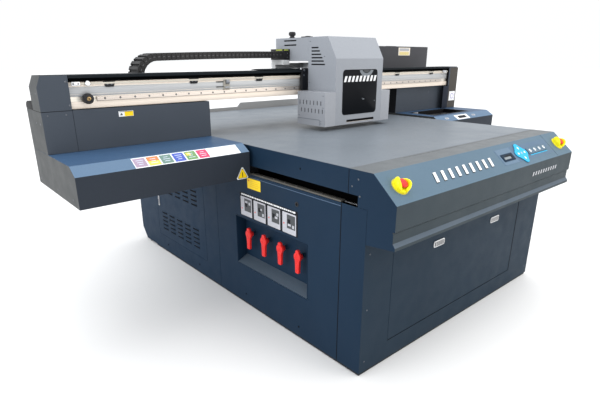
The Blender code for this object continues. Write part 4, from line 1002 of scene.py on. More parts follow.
def make_wing_labels():
    strip = Build("wing_label_strip", "gantry", "light_paint")
    at = chamfer_at(-0.3105, 0.0295)
    strip.plate(at, 0.489, 0.0575, 0.0004, "white", 0.001)
    for index, key in enumerate(SQUARES):
        centre = (-0.2165 + index * 0.056, 0.0)
        strip.plate(at, 0.05, 0.05, 0.0003, key, 0.001, 0.0004, centre)
        if key == "orange":
            strip.plate(at, 0.05, 0.025, 0.0002, "amber", 0.0, 0.0007, (centre[0], -0.0125))
        if key == "leaf":
            strip.plate(at, 0.02, 0.016, 0.0002, "amber", 0.0, 0.0007, (centre[0] - 0.01, 0.01))
        for row in range(3):
            strip.plate(at, 0.03 - 0.006 * ((row + index) % 3), 0.003, 0.0002, "pale_blue", 0.0,
                0.0009, (centre[0], 0.012 - row * 0.0115))
    strip.done()

    warning = Build("triangle_label", "gantry", "yellow")
    at = front_at(-0.063, 0.7395, WING_FRONT)
    side = 0.034
    for size, key, lift in ((side, "white", 0.0), (side * 0.84, "board", 0.0003),
                            (side * 0.76, "label_yellow", 0.0005)):
        warning.flat(at, arc(size, (84, 96, 204, 216, 324, 336), 0.0, -0.004), 0.0003, key, lift)
    warning.plate(at, 0.004, 0.016, 0.0002, "board", 0.001, 0.0008, (0.0, -0.001))
    warning.plate(at, 0.004, 0.004, 0.0002, "board", 0.001, 0.0008, (0.0, -0.0135))
    warning.done()

    note = Build("housing_label", "gantry", "yellow")
    at = front_at(-0.443, 1.012, HOUSING_FRONT)
    note.plate(at, 0.066, 0.0235, 0.0004, "white", 0.0006)
    note.plate(at, 0.039, 0.021, 0.0002, "label_yellow", 0.0006, 0.0004, (0.0125, -0.0005))
    note.flat(at, [(-0.0275, -0.006), (-0.0145, -0.006), (-0.021, 0.005)], 0.0002, "dark_print",
        0.0004)
    note.plate(at, 0.058, 0.0022, 0.0003, "dark_print", 0.0, 0.0005, (0.0, 0.0093))
    note.done()

    right = Build("right_wing_labels", "gantry", "light_paint")
    at = chamfer_at(1.82, 0.027)
    right.plate(at, 0.16, 0.046, 0.001, "white", 0.003, bevel=0.0003)
    right.plate(at, 0.098, 0.026, 0.0006, "board", 0.002, 0.001)
    for x in (1.636, 1.976):
        place = chamfer_at(x, 0.03)
        right.plate(place, 0.04, 0.016, 0.0004, "grey_print", 0.002)
        right.plate(place, 0.028, 0.0026, 0.0002, "dark_print", 0.0, 0.0004, (0.0, 0.003))
        right.plate(place, 0.02, 0.0026, 0.0002, "dark_print", 0.0, 0.0004, (-0.004, -0.003))
    low, high = low_of("right_end_housing"), high_of("right_end_housing")
    right.box((2.108, HOUSING_FRONT - 0.0004, low.z + 0.004), (high.x - 0.001,
        HOUSING_FRONT + 0.0002, high.z - 0.006), "end_warm")
    right.box((2.036, HOUSING_FRONT - 0.0004, TRAY_TOP + 0.002), (2.107, HOUSING_FRONT + 0.0002,
        HOUSING_TOP - 0.003), "navy")
    at = front_at(2.1625, 0.96, HOUSING_FRONT - 0.0004)
    right.plate(at, 0.08, 0.07, 0.0004, "white", 0.002)
    right.flat(at, circle(0.021, 24), 0.0002, "violet", 0.0004)
    right.flat(at, circle(0.016, 24), 0.0002, "white", 0.0006)
    right.plate(at, 0.004, 0.02, 0.0002, "violet", 0.0, 0.0006, (0.03, 0.01))
    right.plate(at, 0.004, 0.014, 0.0002, "violet", 0.0, 0.0006, (0.03, -0.018))
    right.done()

    box_label = Build("ink_box_label", "gantry", "yellow")
    at = front_at(1.9075, 1.2885, low_of("ink_box").y)
    box_label.plate(at, 0.145, 0.057, 0.0005, "cream_label", 0.002)
    box_label.plate(at, 0.117, 0.022, 0.0003, "pale_amber", 0.0, 0.0005, (0.0, -0.014))
    box_label.plate(at, 0.117, 0.018, 0.0003, "grey_print", 0.0, 0.0005, (0.0, 0.014))
    box_label.done()


def make_wing_screws():
    screws = Build("gantry_screws", "gantry", "zinc")
    for x, z in ((-0.673, 1.153), (-0.67, 1.06)):
        screws.screw(front_at(x, z, HOUSING_FRONT), 0.0042, "zinc_dark")
    screws.screws(grid(front_at, (-0.76, -0.69), (1.024,), HOUSING_FRONT), 0.003)
    screws.screws(grid(front_at, (2.115, 2.195), (0.9, 1.13), HOUSING_FRONT), 0.0032)
    for y, z in ((1.06, 0.99), (1.06, 1.11), (1.13, 0.99), (1.13, 1.11), (0.76, 0.74),
            (0.96, 0.74), (1.22, 0.74)):
        screws.screws(both_sides(y, z, GANTRY_LEFT, GANTRY_RIGHT), 0.0032)
    screws.screws(grid(back_at, (-0.7, -0.4, -0.1, 1.6, 1.9, 2.15), (0.75, 0.85), WING_BACK),
        0.0032)
    screws.screw(front_at(1.905, 1.0, 1.068), 0.0035, "zinc_dark")
    screws.done()


def make_beam_details():
    strips = Build("beam_strips", "gantry", "alloy")
    left, right = BEAM_LEFT + 0.001, BEAM_RIGHT - 0.001
    strips.box((left, 1.043, 1.133), (right, BEAM_FRONT, 1.149), "warm", 0.0006)
    strips.box((left, 1.045, 1.101), (right, BEAM_FRONT, 1.131), "alloy_cool", 0.0005)
    strips.box((left, 1.044, 1.0925), (right, BEAM_FRONT, 1.0995), "band_grey", 0.0004)
    strips.box((left, 1.042, 1.0432), (right, BEAM_FRONT, 1.0715), "warm", 0.0008)
    strips.done()

    belt = Build("drive_belt", "gantry", "rubber")
    belt.box((left + 0.004, 1.0362, 1.14), (right - 0.004, 1.0377, 1.1468), "belt", 0.0002)
    tooth = left + 0.01
    while tooth < right - 0.01:
        belt.box((tooth, 1.0375, 1.1402), (tooth + 0.006, 1.0386, 1.1466), "belt")
        tooth += 0.012
    belt.done()

    rail = Build("rail_bolts", "gantry", "steel")
    low, high = low_of("x_rail"), high_of("x_rail")
    x = -0.523
    while x < high.x - 0.01:
        at = front_at(x, (low.z + high.z) / 2, low.y)
        rail.turned(at, [(0.0044, -0.0002), (0.0044, 0.0001)], "black_parts_and_shade", 16)
        rail.disc(at, 0.0024, 0.0002, "zinc_dark", 0.0001, sides=12)
        x += 0.0664
    rail.done()

    buffer = Build("travel_buffer", "gantry", "rubber")
    at = plane((-0.597, BEAM_FRONT, 1.084), (1, 0, 0), (0, 0, 1))
    buffer.turned(at, [(0.0164, 0.0), (0.0164, 0.01), (0.0205, 0.012), (0.0215, 0.018),
        (0.0215, 0.034), (0.0193, 0.0385), (0.01, 0.04), (0.01, 0.037)], "black", 36)
    buffer.turned(at, [(0.0085, 0.036), (0.0085, 0.039), (0.006, 0.04)], "brass", 20)
    buffer.disc(at, 0.0032, 0.0004, "black_parts_and_shade", 0.04, sides=12)
    buffer.done()

    clamps = Build("belt_clamps", "gantry", "alloy")
    for x in (-0.635, 2.05):
        at = front_at(x, 1.1435, 1.036)
        clamps.plate(at, 0.034, 0.016, 0.006, "zinc", 0.003, 0.0, bevel=0.0008)
        for offset in (-0.01, 0.01):
            clamps.screw(shifted(at, offset, 0.0, 0.006), 0.0035, "zinc_dark")
    at = plane((-0.588, 1.043, 1.144), (1, 0, 0), (0, 0, 1))
    clamps.turned(at, [(0.006, 0.0), (0.006, 0.006), (0.0105, 0.007), (0.0105, 0.016),
        (0.009, 0.0175)], "zinc", 24)
    clamps.plate(front_at(2.025, 1.146, 1.036), 0.018, 0.015, 0.006, "grey_print", 0.002, 0.0,
        bevel=0.0006)
    clamps.done()

    brackets = Build("cover_brackets", "gantry", "black")
    outline = [(-0.026, 0.012), (-0.017, -0.011), (0.017, -0.011), (0.026, 0.012)]
    for x in (-0.495, -0.09, 0.3, 0.76, 1.12, 1.477, 1.88):
        at = front_at(x, 1.138, 1.043)
        brackets.flat(at, outline, 0.0045, "black", 0.0, 0.0008)
        for offset in (-0.009, 0.009):
            brackets.disc(at, 0.0028, 0.0008, "zinc_dark", 0.0045, (offset, 0.0), 14, 0.0002)
    brackets.done()

    sensor = Build("home_sensor", "gantry", "steel")
    at = front_at(0.094, 1.12, 1.045)
    sensor.plate(at, 0.038, 0.06, 0.003, "sensor", 0.002, 0.0, (0.0, -0.004), 0.0006)
    sensor.plate(at, 0.022, 0.02, 0.0055, "zinc_dark", 0.002, 0.0028, (0.006, 0.01), 0.0008)
    sensor.plate(at, 0.026, 0.009, 0.0055, "band_grey", 0.002, 0.0028, (0.002, -0.017), 0.0008)
    for height in (0.01, -0.014):
        sensor.plate(at, 0.042, 0.005, 0.003, "dark_print", 0.001, 0.001, (-0.038, height), 0.0004)
    sensor.done()

    sides = Build("roof_edges", "gantry", "grey_paint")
    for x in (-0.3, 0.4, 1.1, 1.8):
        sides.turned(top_at(x, 1.135, ROOF_TOP), [(0.0038, -0.0003), (0.0038, 0.0008),
            (0.003, 0.0015)], "zinc_dark", 18)
    sides.done()

    conduit = Build("conduit_box", "gantry", "rubber")
    outline = [(1.154, HOUSING_TOP), (1.2625, HOUSING_TOP), (1.2625, 1.056), (1.254, 1.067),
        (1.236, 1.073), (1.2, 1.0735), (1.154, 1.064)]
    # The chain's bend comes over the housing's right part, so there the box is only as deep as
    # the gap in front of the chain.
    bend_reach = GANTRY_LEFT + 0.044
    conduit.prism(outline, "x", GANTRY_LEFT - 0.001, bend_reach, "rubber", 0.004, 3)
    short = [(1.154, HOUSING_TOP), (1.188, HOUSING_TOP), (1.188, 1.0705), (1.154, 1.064)]
    conduit.prism(short, "x", bend_reach, GANTRY_LEFT + 0.1, "rubber", 0.002, 2)
    conduit.turned(plane((GANTRY_LEFT + 0.022, 1.262, 1.054), (-1, 0, 0), (0, 0, 1)),
        [(0.011, 0.0), (0.011, 0.004), (0.0085, 0.006), (0.0085, 0.014)], "black", 22)
    conduit.done()

    seams = Build("housing_seams", "gantry", "black")
    for left, right, column in ((GANTRY_LEFT, -0.664, -0.664), (2.093, GANTRY_RIGHT, 2.093)):
        seams.box((left - 0.0002, HOUSING_FRONT - 0.0003, HOUSING_TOP - 0.0022),
            (right, HOUSING_FRONT + 0.0004, HOUSING_TOP), "black_parts_and_shade")
        seams.box((column - 0.0007, HOUSING_FRONT - 0.0002, TRAY_TOP + 0.002), (column + 0.0007,
            HOUSING_FRONT + 0.0004, HOUSING_TOP), "black_parts_and_shade")
    for x in (GANTRY_LEFT - 0.0002, GANTRY_RIGHT - 0.0002):
        seams.box((x, HOUSING_FRONT, HOUSING_TOP - 0.0018), (x + 0.0004, 1.152, HOUSING_TOP),
            "black_parts_and_shade")
    seams.done()


def make_cap_recess():
    liner = Build("cap_tray", "gantry", "black")
    left, right, front, back = 1.6005, 2.0295, 0.8005, 0.9995
    floor = low_of("cap_station").z - 0.004
    top = TRAY_TOP + 0.0012
    rim = 0.012
    liner.box((left, front, floor - 0.002), (right, back, floor), "black_parts_and_shade", 0.0004)
    rims = ((left - rim, front - rim, right + rim, front),
            (left - rim, back, right + rim, back + rim),
            (left - rim, front, left, back), (right, front, right + rim, back))
    walls = ((left, front, left + 0.002, back), (right - 0.002, front, right, back),
             (left, front, right, front + 0.002), (left, back - 0.002, right, back))
    for places, bottom, key in ((rims, top - 0.0012, "black"), (walls, floor, "black_parts_and_shade")):
        for x_low, y_low, x_high, y_high in places:
            liner.box((x_low, y_low, bottom), (x_high, y_high, top), key, 0.0004)
    liner.plate(top_at(1.655, 0.9922, TRAY_TOP - 0.01), 0.05, 0.01, 0.008, "grey_print", 0.002,
        bevel=0.0008)
    liner.done()

    caps = Build("print_head_caps", "cap_station", "black")
    low, high = low_of("cap_station"), high_of("cap_station")
    for index in range(3):
        x = low.x + 0.07 + index * 0.115
        for y in (low.y + 0.045, high.y - 0.045):
            at = top_at(x, y, high.z)
            caps.plate(at, 0.06, 0.052, 0.0014, "zinc_dark", 0.005, 0.0, bevel=0.0004)
            caps.plate(at, 0.048, 0.04, 0.0014, "rubber", 0.008, 0.0014, bevel=0.0005)
            caps.plate(at, 0.038, 0.03, 0.0003, "dark_print", 0.006, 0.0028)
    caps.plate(top_at(high.x - 0.028, (low.y + high.y) / 2, high.z), 0.016, 0.13, 0.003,
        "dark_print", 0.003, bevel=0.0008)
    caps.done()


def make_ink_details():
    ink = Build("ink_box_fittings", "gantry", "black")
    low, high = low_of("ink_box"), high_of("ink_box")
    for x in (low.x + 0.12, (low.x + high.x) / 2, high.x - 0.12):
        at = back_at(x, high.z - 0.01, high.y)
        ink.plate(at, 0.07, 0.018, 0.0016, "black", 0.003, bevel=0.0004)
        ink.turned(plane((x - 0.034, high.y + 0.004, high.z), (0, 0, 1), (0, 1, 0)),
            [(0.0038, 0.0), (0.0038, 0.068)], "zinc_dark", 18)
    for z in (low.z + 0.03, high.z - 0.05):
        for x in (low.x + 0.02, high.x - 0.02):
            ink.screw(front_at(x, z, low.y), 0.0032, "zinc_dark")
            ink.screw(back_at(x, z, high.y), 0.0032, "zinc_dark")
    for row in range(7):
        at = right_at((low.y + high.y) / 2, low.z + 0.06 + row * 0.014, high.x)
        ink.plate(at, 0.09, 0.0045, 0.0004, "black_parts_and_shade", 0.002)
    ink.done()
    pull = Build("ink_lid_pull", "ink_lid", "black")
    at = top_at((low.x + high.x) / 2, low.y + 0.02, high_of("ink_lid").z)
    pull.plate(at, 0.12, 0.016, 0.0018, "black", 0.006, 0.0, bevel=0.0006)
    pull.plate(at, 0.09, 0.005, 0.0003, "rubber", 0.002, 0.0018)
    pull.done()


# ---- Carriage and cable chain --------------------------------------------------------------
def make_carriage():
    low, high = low_of("carriage_cover"), high_of("carriage_cover")
    slots = []
    for index in range(6):
        front = 0.938 - 0.0108 * index
        middle = (0.995 + front) / 2
        slots += [opening(at, 0.995 - front, 0.0072, radius=0.0018)
                  for at in both_sides(middle, 1.296 - index * 0.0176, low.x, high.x)]
    slots.append(opening(front_at(0.8435, 0.9025, low.y), 0.235, 0.015, 0.004, 0.003))
    recut("carriage_cover", "carriage", "light_paint", "light", slots, 0.0008)

    rear = low_of("carriage_rear_cover"), high_of("carriage_rear_cover")
    slots = []
    for z in (1.337, 1.313):
        slots += [opening(at, 0.11, 0.0074, radius=0.002)
                  for at in both_sides(1.18, z, rear[0].x, rear[1].x)]
    slots += [opening(back_at(0.7 + column * 0.084, 1.262 + row * 0.019, rear[1].y), 0.06, 0.0058,
                      radius=0.002) for row in range(4) for column in range(4)]
    recut("carriage_rear_cover", "carriage", "light_paint", "light", slots, 0.0008)

    for side, x, facing_side in (("left", low_of("uv_lamp_left").x, left_at),
            ("right", high_of("uv_lamp_right").x, right_at)):
        slots = []
        for index in range(7):
            slots += [opening(facing_side(y - index * 0.0285, z, x), 0.0058, 0.023, radius=0.001)
                      for y, z in ((1.001, 1.008), (0.988, 0.9655))]
        recut("uv_lamp_" + side, "carriage", "light_paint", "lamp", slots, 0.0008)

    window = Build("carriage_window", "carriage", "black")
    at = front_at(0.8305, 1.0595, low.y)
    window.plate(at, 0.287, 0.243, 0.0014, "glass", 0.02, 0.0, bevel=0.0004)
    arc_points = arc(0.067, range(208, 333, 4))
    inner = [(x * 0.7, y * 0.7) for x, y in reversed(arc_points)]
    ring = [(0.047 + x, 0.1475 + y) for x, y in arc_points + inner]
    clipped = [(x, min(y, 0.1185)) for x, y in ring]
    window.flat(at, clipped, 0.0003, "light_edge", 0.0014)
    fan = [(0.047 + 0.04 * math.cos(math.radians(a)),
        min(0.1185, 0.1475 + 0.044 * math.sin(math.radians(a)))) for a in range(222, 319, 8)]
    window.flat(at, fan, 0.0002, "dark_print", 0.0014)
    stripe_mark(window, shifted(at, 0.0, 0.072), 9, 0.0305, 0.017, 0.031, 0.0005, 0.0014,
        shade=False)
    window.plate(at, 0.016, 0.005, 0.0002, "light_edge", 0.002, 0.0014, (0.03, -0.041))
    window.disc(at, 0.003, 0.0002, "light_edge", 0.0014, (0.1275, -0.0545), 14)
    window.plate(at, 0.008, 0.0022, 0.0002, "light_edge", 0.0, 0.0014, (0.02, -0.036))
    window.done()

    # Black sheets behind the carriage's slots: painted shade for the dark inside of the covers.
    shade_liners = Build("carriage_shade_liners", "carriage", "black")
    screen = [(0.999, 1.18), (0.999, 1.306), (0.926, 1.306), (0.862, 1.18)]
    for x in (low.x + 0.0036, high.x - 0.0044):
        shade_liners.prism(screen, "x", x, x + 0.0008, "black_parts_and_shade")
        shade_liners.box((x, 1.12, 1.296), (x + 0.0008, 1.24, 1.346), "black_parts_and_shade")
    shade_liners.box((0.655, rear[1].y - 0.0044, 1.245), (0.997, rear[1].y - 0.0036, 1.335), "black_parts_and_shade")
    for x in (low_of("uv_lamp_left").x + 0.0036, high_of("uv_lamp_right").x - 0.0044):
        shade_liners.box((x, 0.815, 0.95), (x + 0.0008, 1.012, 1.024), "black_parts_and_shade")
    shade_liners.done()

    # A black strip inside the front, behind the front slot: painted shade.
    inner_shade = Build("carriage_inner_shade", "carriage", "black")
    inner_shade.box((low.x + 0.006, low.y + 0.006, low.z + 0.01), (high.x - 0.006, low.y + 0.008,
        low.z + 0.04), "black_parts_and_shade", 0.0004)
    inner_shade.done()

    knob = Build("carriage_knob", "carriage", "black")
    at = top_at(0.652, 1.184, high_of("carriage_rear_cover").z)
    knob.turned(at, [(0.0175, 0.0), (0.0175, 0.003), (0.013, 0.005), (0.013, 0.012),
        (0.0185, 0.014), (0.019, 0.017), (0.019, 0.029), (0.0165, 0.033), (0.009, 0.0342),
        (0.0, 0.0345)], "black", 30)
    for index in range(12):
        spin = at @ Matrix.Rotation(math.tau * index / 12, 4, "Z")
        knob.plate(spin, 0.0018, 0.003, 0.012, "black", 0.0, 0.0165, (0.0192, 0.0), 0.0004)
    knob.turned(top_at(0.7, 1.235, high_of("carriage_rear_cover").z), [(0.0095, 0.0),
        (0.0095, 0.004), (0.008, 0.01)], "black", 22)
    knob.done()
    tag = Build("carriage_top_catch", "carriage", "black")
    at = top_at(0.662, 1.066, high.z)
    tag.plate(at, 0.048, 0.062, 0.005, "black", 0.012, 0.0, bevel=0.001)
    tag.plate(at, 0.026, 0.026, 0.0025, "rubber", 0.008, 0.005, (0.0, -0.008), 0.0006)
    tag.done()

    trim = Build("lamp_trim", "carriage", "light_paint")
    x = low_of("uv_lamp_left").x
    trim.box((x - 0.0012, 0.838, 0.9178), (x + 0.0004, 1.019, 0.9206), "light_edge", 0.0004)
    trim.box((x - 0.0012, 0.8355, 0.89), (x + 0.0004, 0.8383, 0.9206), "light_edge", 0.0004)
    for z in (0.9, 0.912):
        trim.screw(left_at(0.827, z, x), 0.0026, "zinc_dark")
    for y, z in ((0.812, 0.985), (0.812, 1.048), (1.008, 1.048), (1.008, 0.935)):
        trim.screw(left_at(y, z, x), 0.0028, "zinc_dark")
    for y, z in ((1.006, 1.33), (0.89, 1.25), (1.006, 1.11)):
        trim.screws(both_sides(y, z, low.x, high.x), 0.003)
    x = low_of("uv_lamp_left").x + 0.01
    top = high_of("uv_lamp_left").z
    trim.screw(top_at(x + 0.005, 0.9, top), 0.003, "light_edge")
    for x in (0.7, 0.826, 0.952):
        trim.screw(back_at(x, 1.34, high_of("carriage_rear_cover").y), 0.003, "zinc_dark")
    trim.done()


def make_slider_details():
    paint = Build("slider_fittings", "x_slider", "black")
    low = low_of("slider_plate")
    at = front_at(0.6085, 1.128, low.y)
    paint.plate(at, 0.034, 0.112, 0.001, "board", 0.002, 0.0, bevel=0.0004)
    radius = 0.0062
    paint.turned(shifted(at, -0.008, 0.0487, 0.0012), [(radius, 0.0), (radius, 0.003),
        (radius * 0.75, 0.0042), (radius * 0.4, 0.0042), (radius * 0.4, 0.003)], "zinc_dark", 22)
    # The lifted lamp passes 1.5 mm in front of the plate, so this head stays nearly flush.
    paint.disc(at, 0.0048, 0.0003, "zinc_dark", 0.001, (-0.008, 0.022), 22)
    paint.box((0.5818, 1.1828, 1.232), (0.633, 1.3005, high_of("slider_plate").z + 0.0008),
        "black", 0.0008)
    paint.done()
    cover = Build("slider_wing", "x_slider", "grey_paint")
    cover.prism([(0.318, 1.18), (0.583, 1.18), (0.583, 1.187), (0.345, 1.1862), (0.318, 1.1825)],
        "y", 1.035, 1.14, "gantry_roof", 0.0008)
    cover.turned(top_at(0.36, 1.06, 1.1864), [(0.0036, -0.0006), (0.0036, 0.0008), (0.0, 0.0014)],
        "zinc_dark", 18)
    cover.box((0.583, 1.035, 1.1805), (0.64, 1.06, 1.188), "gantry_roof", 0.0006)
    cover.done()
    tag = Build("chain_bracket_label", "x_slider", "yellow")
    bracket = high_of("slider_plate").z
    at = left_at(1.22, bracket - 0.0065, 0.5818)
    tag.plate(at, 0.058, 0.007, 0.0003, "leaf_yellow", 0.001, 0.0, (0.0, 0.002))
    tag.plate(front_at(0.603, bracket - 0.0045, 1.1828), 0.034, 0.006, 0.0003, "leaf_yellow",
        0.001)
    for z in (1.246, 1.268):
        tag.screw(front_at(0.613, z, 1.1828), 0.003, "zinc_dark")
    tag.done()


CHAIN_PITCH = 0.0245
CHAIN_SAG = 0.012
CHAIN_HALF = 0.018


def chain_link(build, frame_matrix):
    """One link: local x along the chain, y out of the bend, z across from front to back."""
    front, back = low_of("cable_chain_upper").y, high_of("cable_chain_upper").y
    width = back - front
    half = CHAIN_PITCH / 2
    side = [(half * across, CHAIN_HALF * out) for across, out in (
        (-0.96, -0.8), (-0.74, -1), (0.74, -1), (0.96, -0.8),
        (0.96, 0.8), (0.74, 1), (-0.74, 1), (-0.96, 0.8))]
    tongue = rectangle(half * 0.4, -CHAIN_HALF * 0.62, half * 1.5, CHAIN_HALF * 0.62)
    for start in (0.0, width - 0.007):
        build.take(solid(side, start, start + 0.007), "chain", frame_matrix, 0.0006, 1)
        inner = 0.0022 if start == 0.0 else start + 0.001
        build.take(solid(tongue, inner, inner + 0.0038), "chain_inner", frame_matrix)
    for middle in (-CHAIN_HALF + 0.0016, CHAIN_HALF - 0.0016):
        bar = rectangle(-half * 0.62, middle - 0.0016, half * 0.62, middle + 0.0016)
        build.take(solid(bar, 0.004, width - 0.004), "chain", frame_matrix, 0.0005, 1)
    # A light grey dash on each side plate: painted highlight.
    dash = rectangle(-half * 0.55, -0.001, half * 0.3, 0.001)
    for start in (-0.0004, width - 0.0004):
        build.take(solid(dash, start, start + 0.0008), "chain_dash_highlight", frame_matrix)


def link_frame(x, z, along, out):
    """Front edge of the chain at (x, z); the link's own z axis runs towards the back."""
    front = low_of("cable_chain_upper").y
    matrix = Matrix(((along[0], out[0], 0.0), (0.0, 0.0, 1.0), (along[1], out[1], 0.0))).to_4x4()
    matrix.translation = Vector((x, front, z))
    return matrix


def make_chain():
    upper_low, upper_high = low_of("cable_chain_upper"), high_of("cable_chain_upper")
    bend_low, bend_high = low_of("cable_chain_bend"), high_of("cable_chain_bend")
    thickness = upper_high.z - upper_low.z
    top_z = (upper_low.z + upper_high.z) / 2
    low_z = bend_low.z + thickness / 2
    sagged = top_z - CHAIN_SAG
    middle_z = (sagged + low_z) / 2
    radius = (sagged - low_z) / 2
    bend_x = upper_low.x

    upper = Build("cable_chain_upper_run", "x_slider", "black")
    length = upper_high.x - upper_low.x

    def height_at(share):
        return top_z - CHAIN_SAG * (1 - share) ** 2

    count = int(length / CHAIN_PITCH)
    for index in range(count):
        share = (index + 0.5) / count
        rise = Vector((length, 2 * CHAIN_SAG * (1 - share))).normalized()
        chain_link(upper, link_frame(upper_low.x + share * length, height_at(share),
            (rise.x, rise.y), (-rise.y, rise.x)))
    shares = [step / 10 for step in range(11)]
    belly = [(upper_low.x + share * length, height_at(share) - 0.01) for share in shares]
    crown = [(upper_low.x + share * length, height_at(share) + 0.01) for share in shares]
    upper.prism(belly + crown[::-1], "y", upper_low.y + 0.01, upper_high.y - 0.01, "rubber")
    piece = upper.thing()
    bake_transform(piece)
    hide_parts("cable_chain_upper")

    bend = Build("cable_chain_bend_run", "cable_chain", "black")
    arc_length = math.pi * radius
    turns = round(arc_length / CHAIN_PITCH)
    for index in range(turns):
        angle = math.radians(90 + 180 * (index + 0.5) / turns)
        out = (math.cos(angle), math.sin(angle))
        along = (math.sin(angle), -math.cos(angle))
        chain_link(bend, link_frame(bend_x + radius * out[0], middle_z + radius * out[1], along,
            out))
    straight = bend_high.x - bend_x
    count = int(straight / CHAIN_PITCH)
    pitch = straight / count
    for index in range(count):
        x = bend_x + (index + 0.5) * pitch
        chain_link(bend, link_frame(x, low_z, (-1, 0), (0, -1)))
    core = []
    for reach in (radius + 0.01, radius - 0.01):
        arc_points = arc(reach, range(90, 271, 10), bend_x, middle_z)
        end = (bend_high.x, middle_z - reach)
        if not core:
            core = arc_points + [end]
        else:
            core += [end] + arc_points[::-1]
    bend.prism(core, "y", upper_low.y + 0.01, upper_high.y - 0.01, "rubber")
    bend.done("cable_chain_bend")


# ---- Back, right side and underside --------------------------------------------------------
REAR_DOOR_X = (0.42, 1.08)
REAR_DOOR = 0.56


def make_rear():
    back = high_of("rear_panel").y
    slots = []
    for x in REAR_DOOR_X:
        for row in range(8):
            for column in range(4):
                slots.append(opening(back_at(x + (column - 1.5) * 0.08, 0.3 + row * 0.026, back),
                    0.058, 0.007, radius=0.003))
    recut("rear_panel", "base", "blue_paint", "side", slots, 0.0006, front="rear_light",
        top="rear_light")

    # Black sheets behind the rear vents and the right side's louvres: painted shade for the
    # cabinet's dark inside.
    liner = Build("vent_shade_liners", "base", "black")
    for x in REAR_DOOR_X:
        liner.plate(back_at(x, 0.391, back), 0.33, 0.215, 0.0008, "black_parts_and_shade", 0.0, -0.005)
    liner.plate(right_at(1.511, 0.2295, WIDTH), 0.43, 0.15, 0.0008, "black_parts_and_shade", 0.0, -0.0036)
    liner.done()

    seams = Build("rear_doors", "base", "blue_paint")
    for x in REAR_DOOR_X:
        at = back_at(x, 0.4, back)
        outwards = -1 if x > WIDTH / 2 else 1
        seams.outline_seam(at, REAR_DOOR, REAR_DOOR)
        seams.cam_lock(shifted(at, -outwards * 0.25))
        for z in (-0.2, 0.2):
            hinge = shifted(at, outwards * 0.284, z)
            seams.turned(plane(hinge.translation + Vector((0, 0.003, -0.03)), (1, 0, 0),
                (0, 1, 0)), [(0.0035, 0.0), (0.0035, 0.06)], "zinc_dark", 16)
    seams.done()

    fan = Build("exhaust_fan", "base", "black")
    at = back_at(0.75, 0.69, back)
    fan.plate(at, 0.124, 0.124, 0.003, "black", 0.008, 0.0, bevel=0.0008)
    # The black disc behind the guard rings is painted shade for the fan's dark opening.
    fan.disc(at, 0.056, 0.0004, "black_parts_and_shade", 0.003, sides=40)
    for radius in (0.016, 0.026, 0.036, 0.046, 0.055):
        ring = bmesh.new()
        steps = 36
        for index in range(steps):
            angle = math.tau * index / steps
            centre = Vector((radius * math.cos(angle), radius * math.sin(angle), 0.0055))
            out = Vector((math.cos(angle), math.sin(angle), 0.0))
            for corner in range(6):
                turn = math.tau * corner / 6
                ring.verts.new(centre + 0.0012 * (out * math.cos(turn)
                                                  + Vector((0, 0, 1)) * math.sin(turn)))
        ring.verts.ensure_lookup_table()
        for index in range(steps):
            for corner in range(6):
                first, after = index * 6, ((index + 1) % steps) * 6
                step = (corner + 1) % 6
                ring.faces.new((ring.verts[first + corner], ring.verts[after + corner],
                    ring.verts[after + step], ring.verts[first + step]))
        bmesh.ops.recalc_face_normals(ring, faces=ring.faces)
        fan.take(ring, "zinc", at)
    for turn in (45, 135):
        fan.plate(spun_by(at, turn), 0.15, 0.0024, 0.0024, "zinc", 0.001, 0.0032)
    fan.disc(at, 0.014, 0.0016, "black", 0.005, sides=24, bevel=0.0004)
    corner = (-0.0525, 0.0525)
    fan.screws([shifted(at, x, y, 0.003) for x in corner for y in corner], 0.0036)
    fan.done()

    inlet = Build("power_inlet", "base", "black")
    at = back_at(0.335, 0.18, back)
    inlet.plate(at, 0.11, 0.04, 0.001, "zinc", 0.003, 0.0, bevel=0.0003)
    inlet.plate(at, 0.04, 0.024, 0.006, "black", 0.004, 0.001, (0.028, 0.0), 0.001)
    inlet.plate(at, 0.026, 0.012, 0.0035, "red", 0.002, 0.0068, (0.028, 0.0), 0.0008)
    for x in (-0.036, -0.024, -0.012):
        inlet.disc(at, 0.0036, 0.0024, "black_parts_and_shade", 0.001, (x, 0.0), 16, 0.0004)
    inlet.done()
    pins = Build("inlet_pins", "base", "steel")
    x, z = 0.335, 0.245
    deep = back - 0.026
    pins.plate(back_at(x, z, deep), 0.062, 0.042, 0.001, "black", 0.003)
    for offset in (-0.014, 0.0, 0.014):
        pins.plate(back_at(x + offset, z + (0.006 if offset == 0.0 else -0.004), deep), 0.0022,
            0.0065, 0.018, "brass", 0.0006, 0.001, bevel=0.0003)
    pins.done()

    plate = Build("rating_plate", "base", "zinc")
    at = back_at(1.38, 0.19, back)
    plate.plate(at, 0.09, 0.06, 0.0006, "zinc", 0.004, bevel=0.0002)
    for row in range(5):
        plate.plate(at, 0.06 - 0.008 * (row % 2), 0.002, 0.0002, "dark_print", 0.0, 0.0006,
            (-0.004, 0.018 - row * 0.009))
    for x in (-0.039, 0.039):
        plate.disc(at, 0.0018, 0.0006, "zinc_dark", 0.0006, (x, 0.0), 12)
    plate.done()

    screws = Build("rear_screws", "base", "zinc")
    screws.screws(grid(back_at, (0.03, 0.748, WIDTH - 0.03), (0.12, 0.4, 0.6, 0.84), back), 0.0036)
    screws.done()


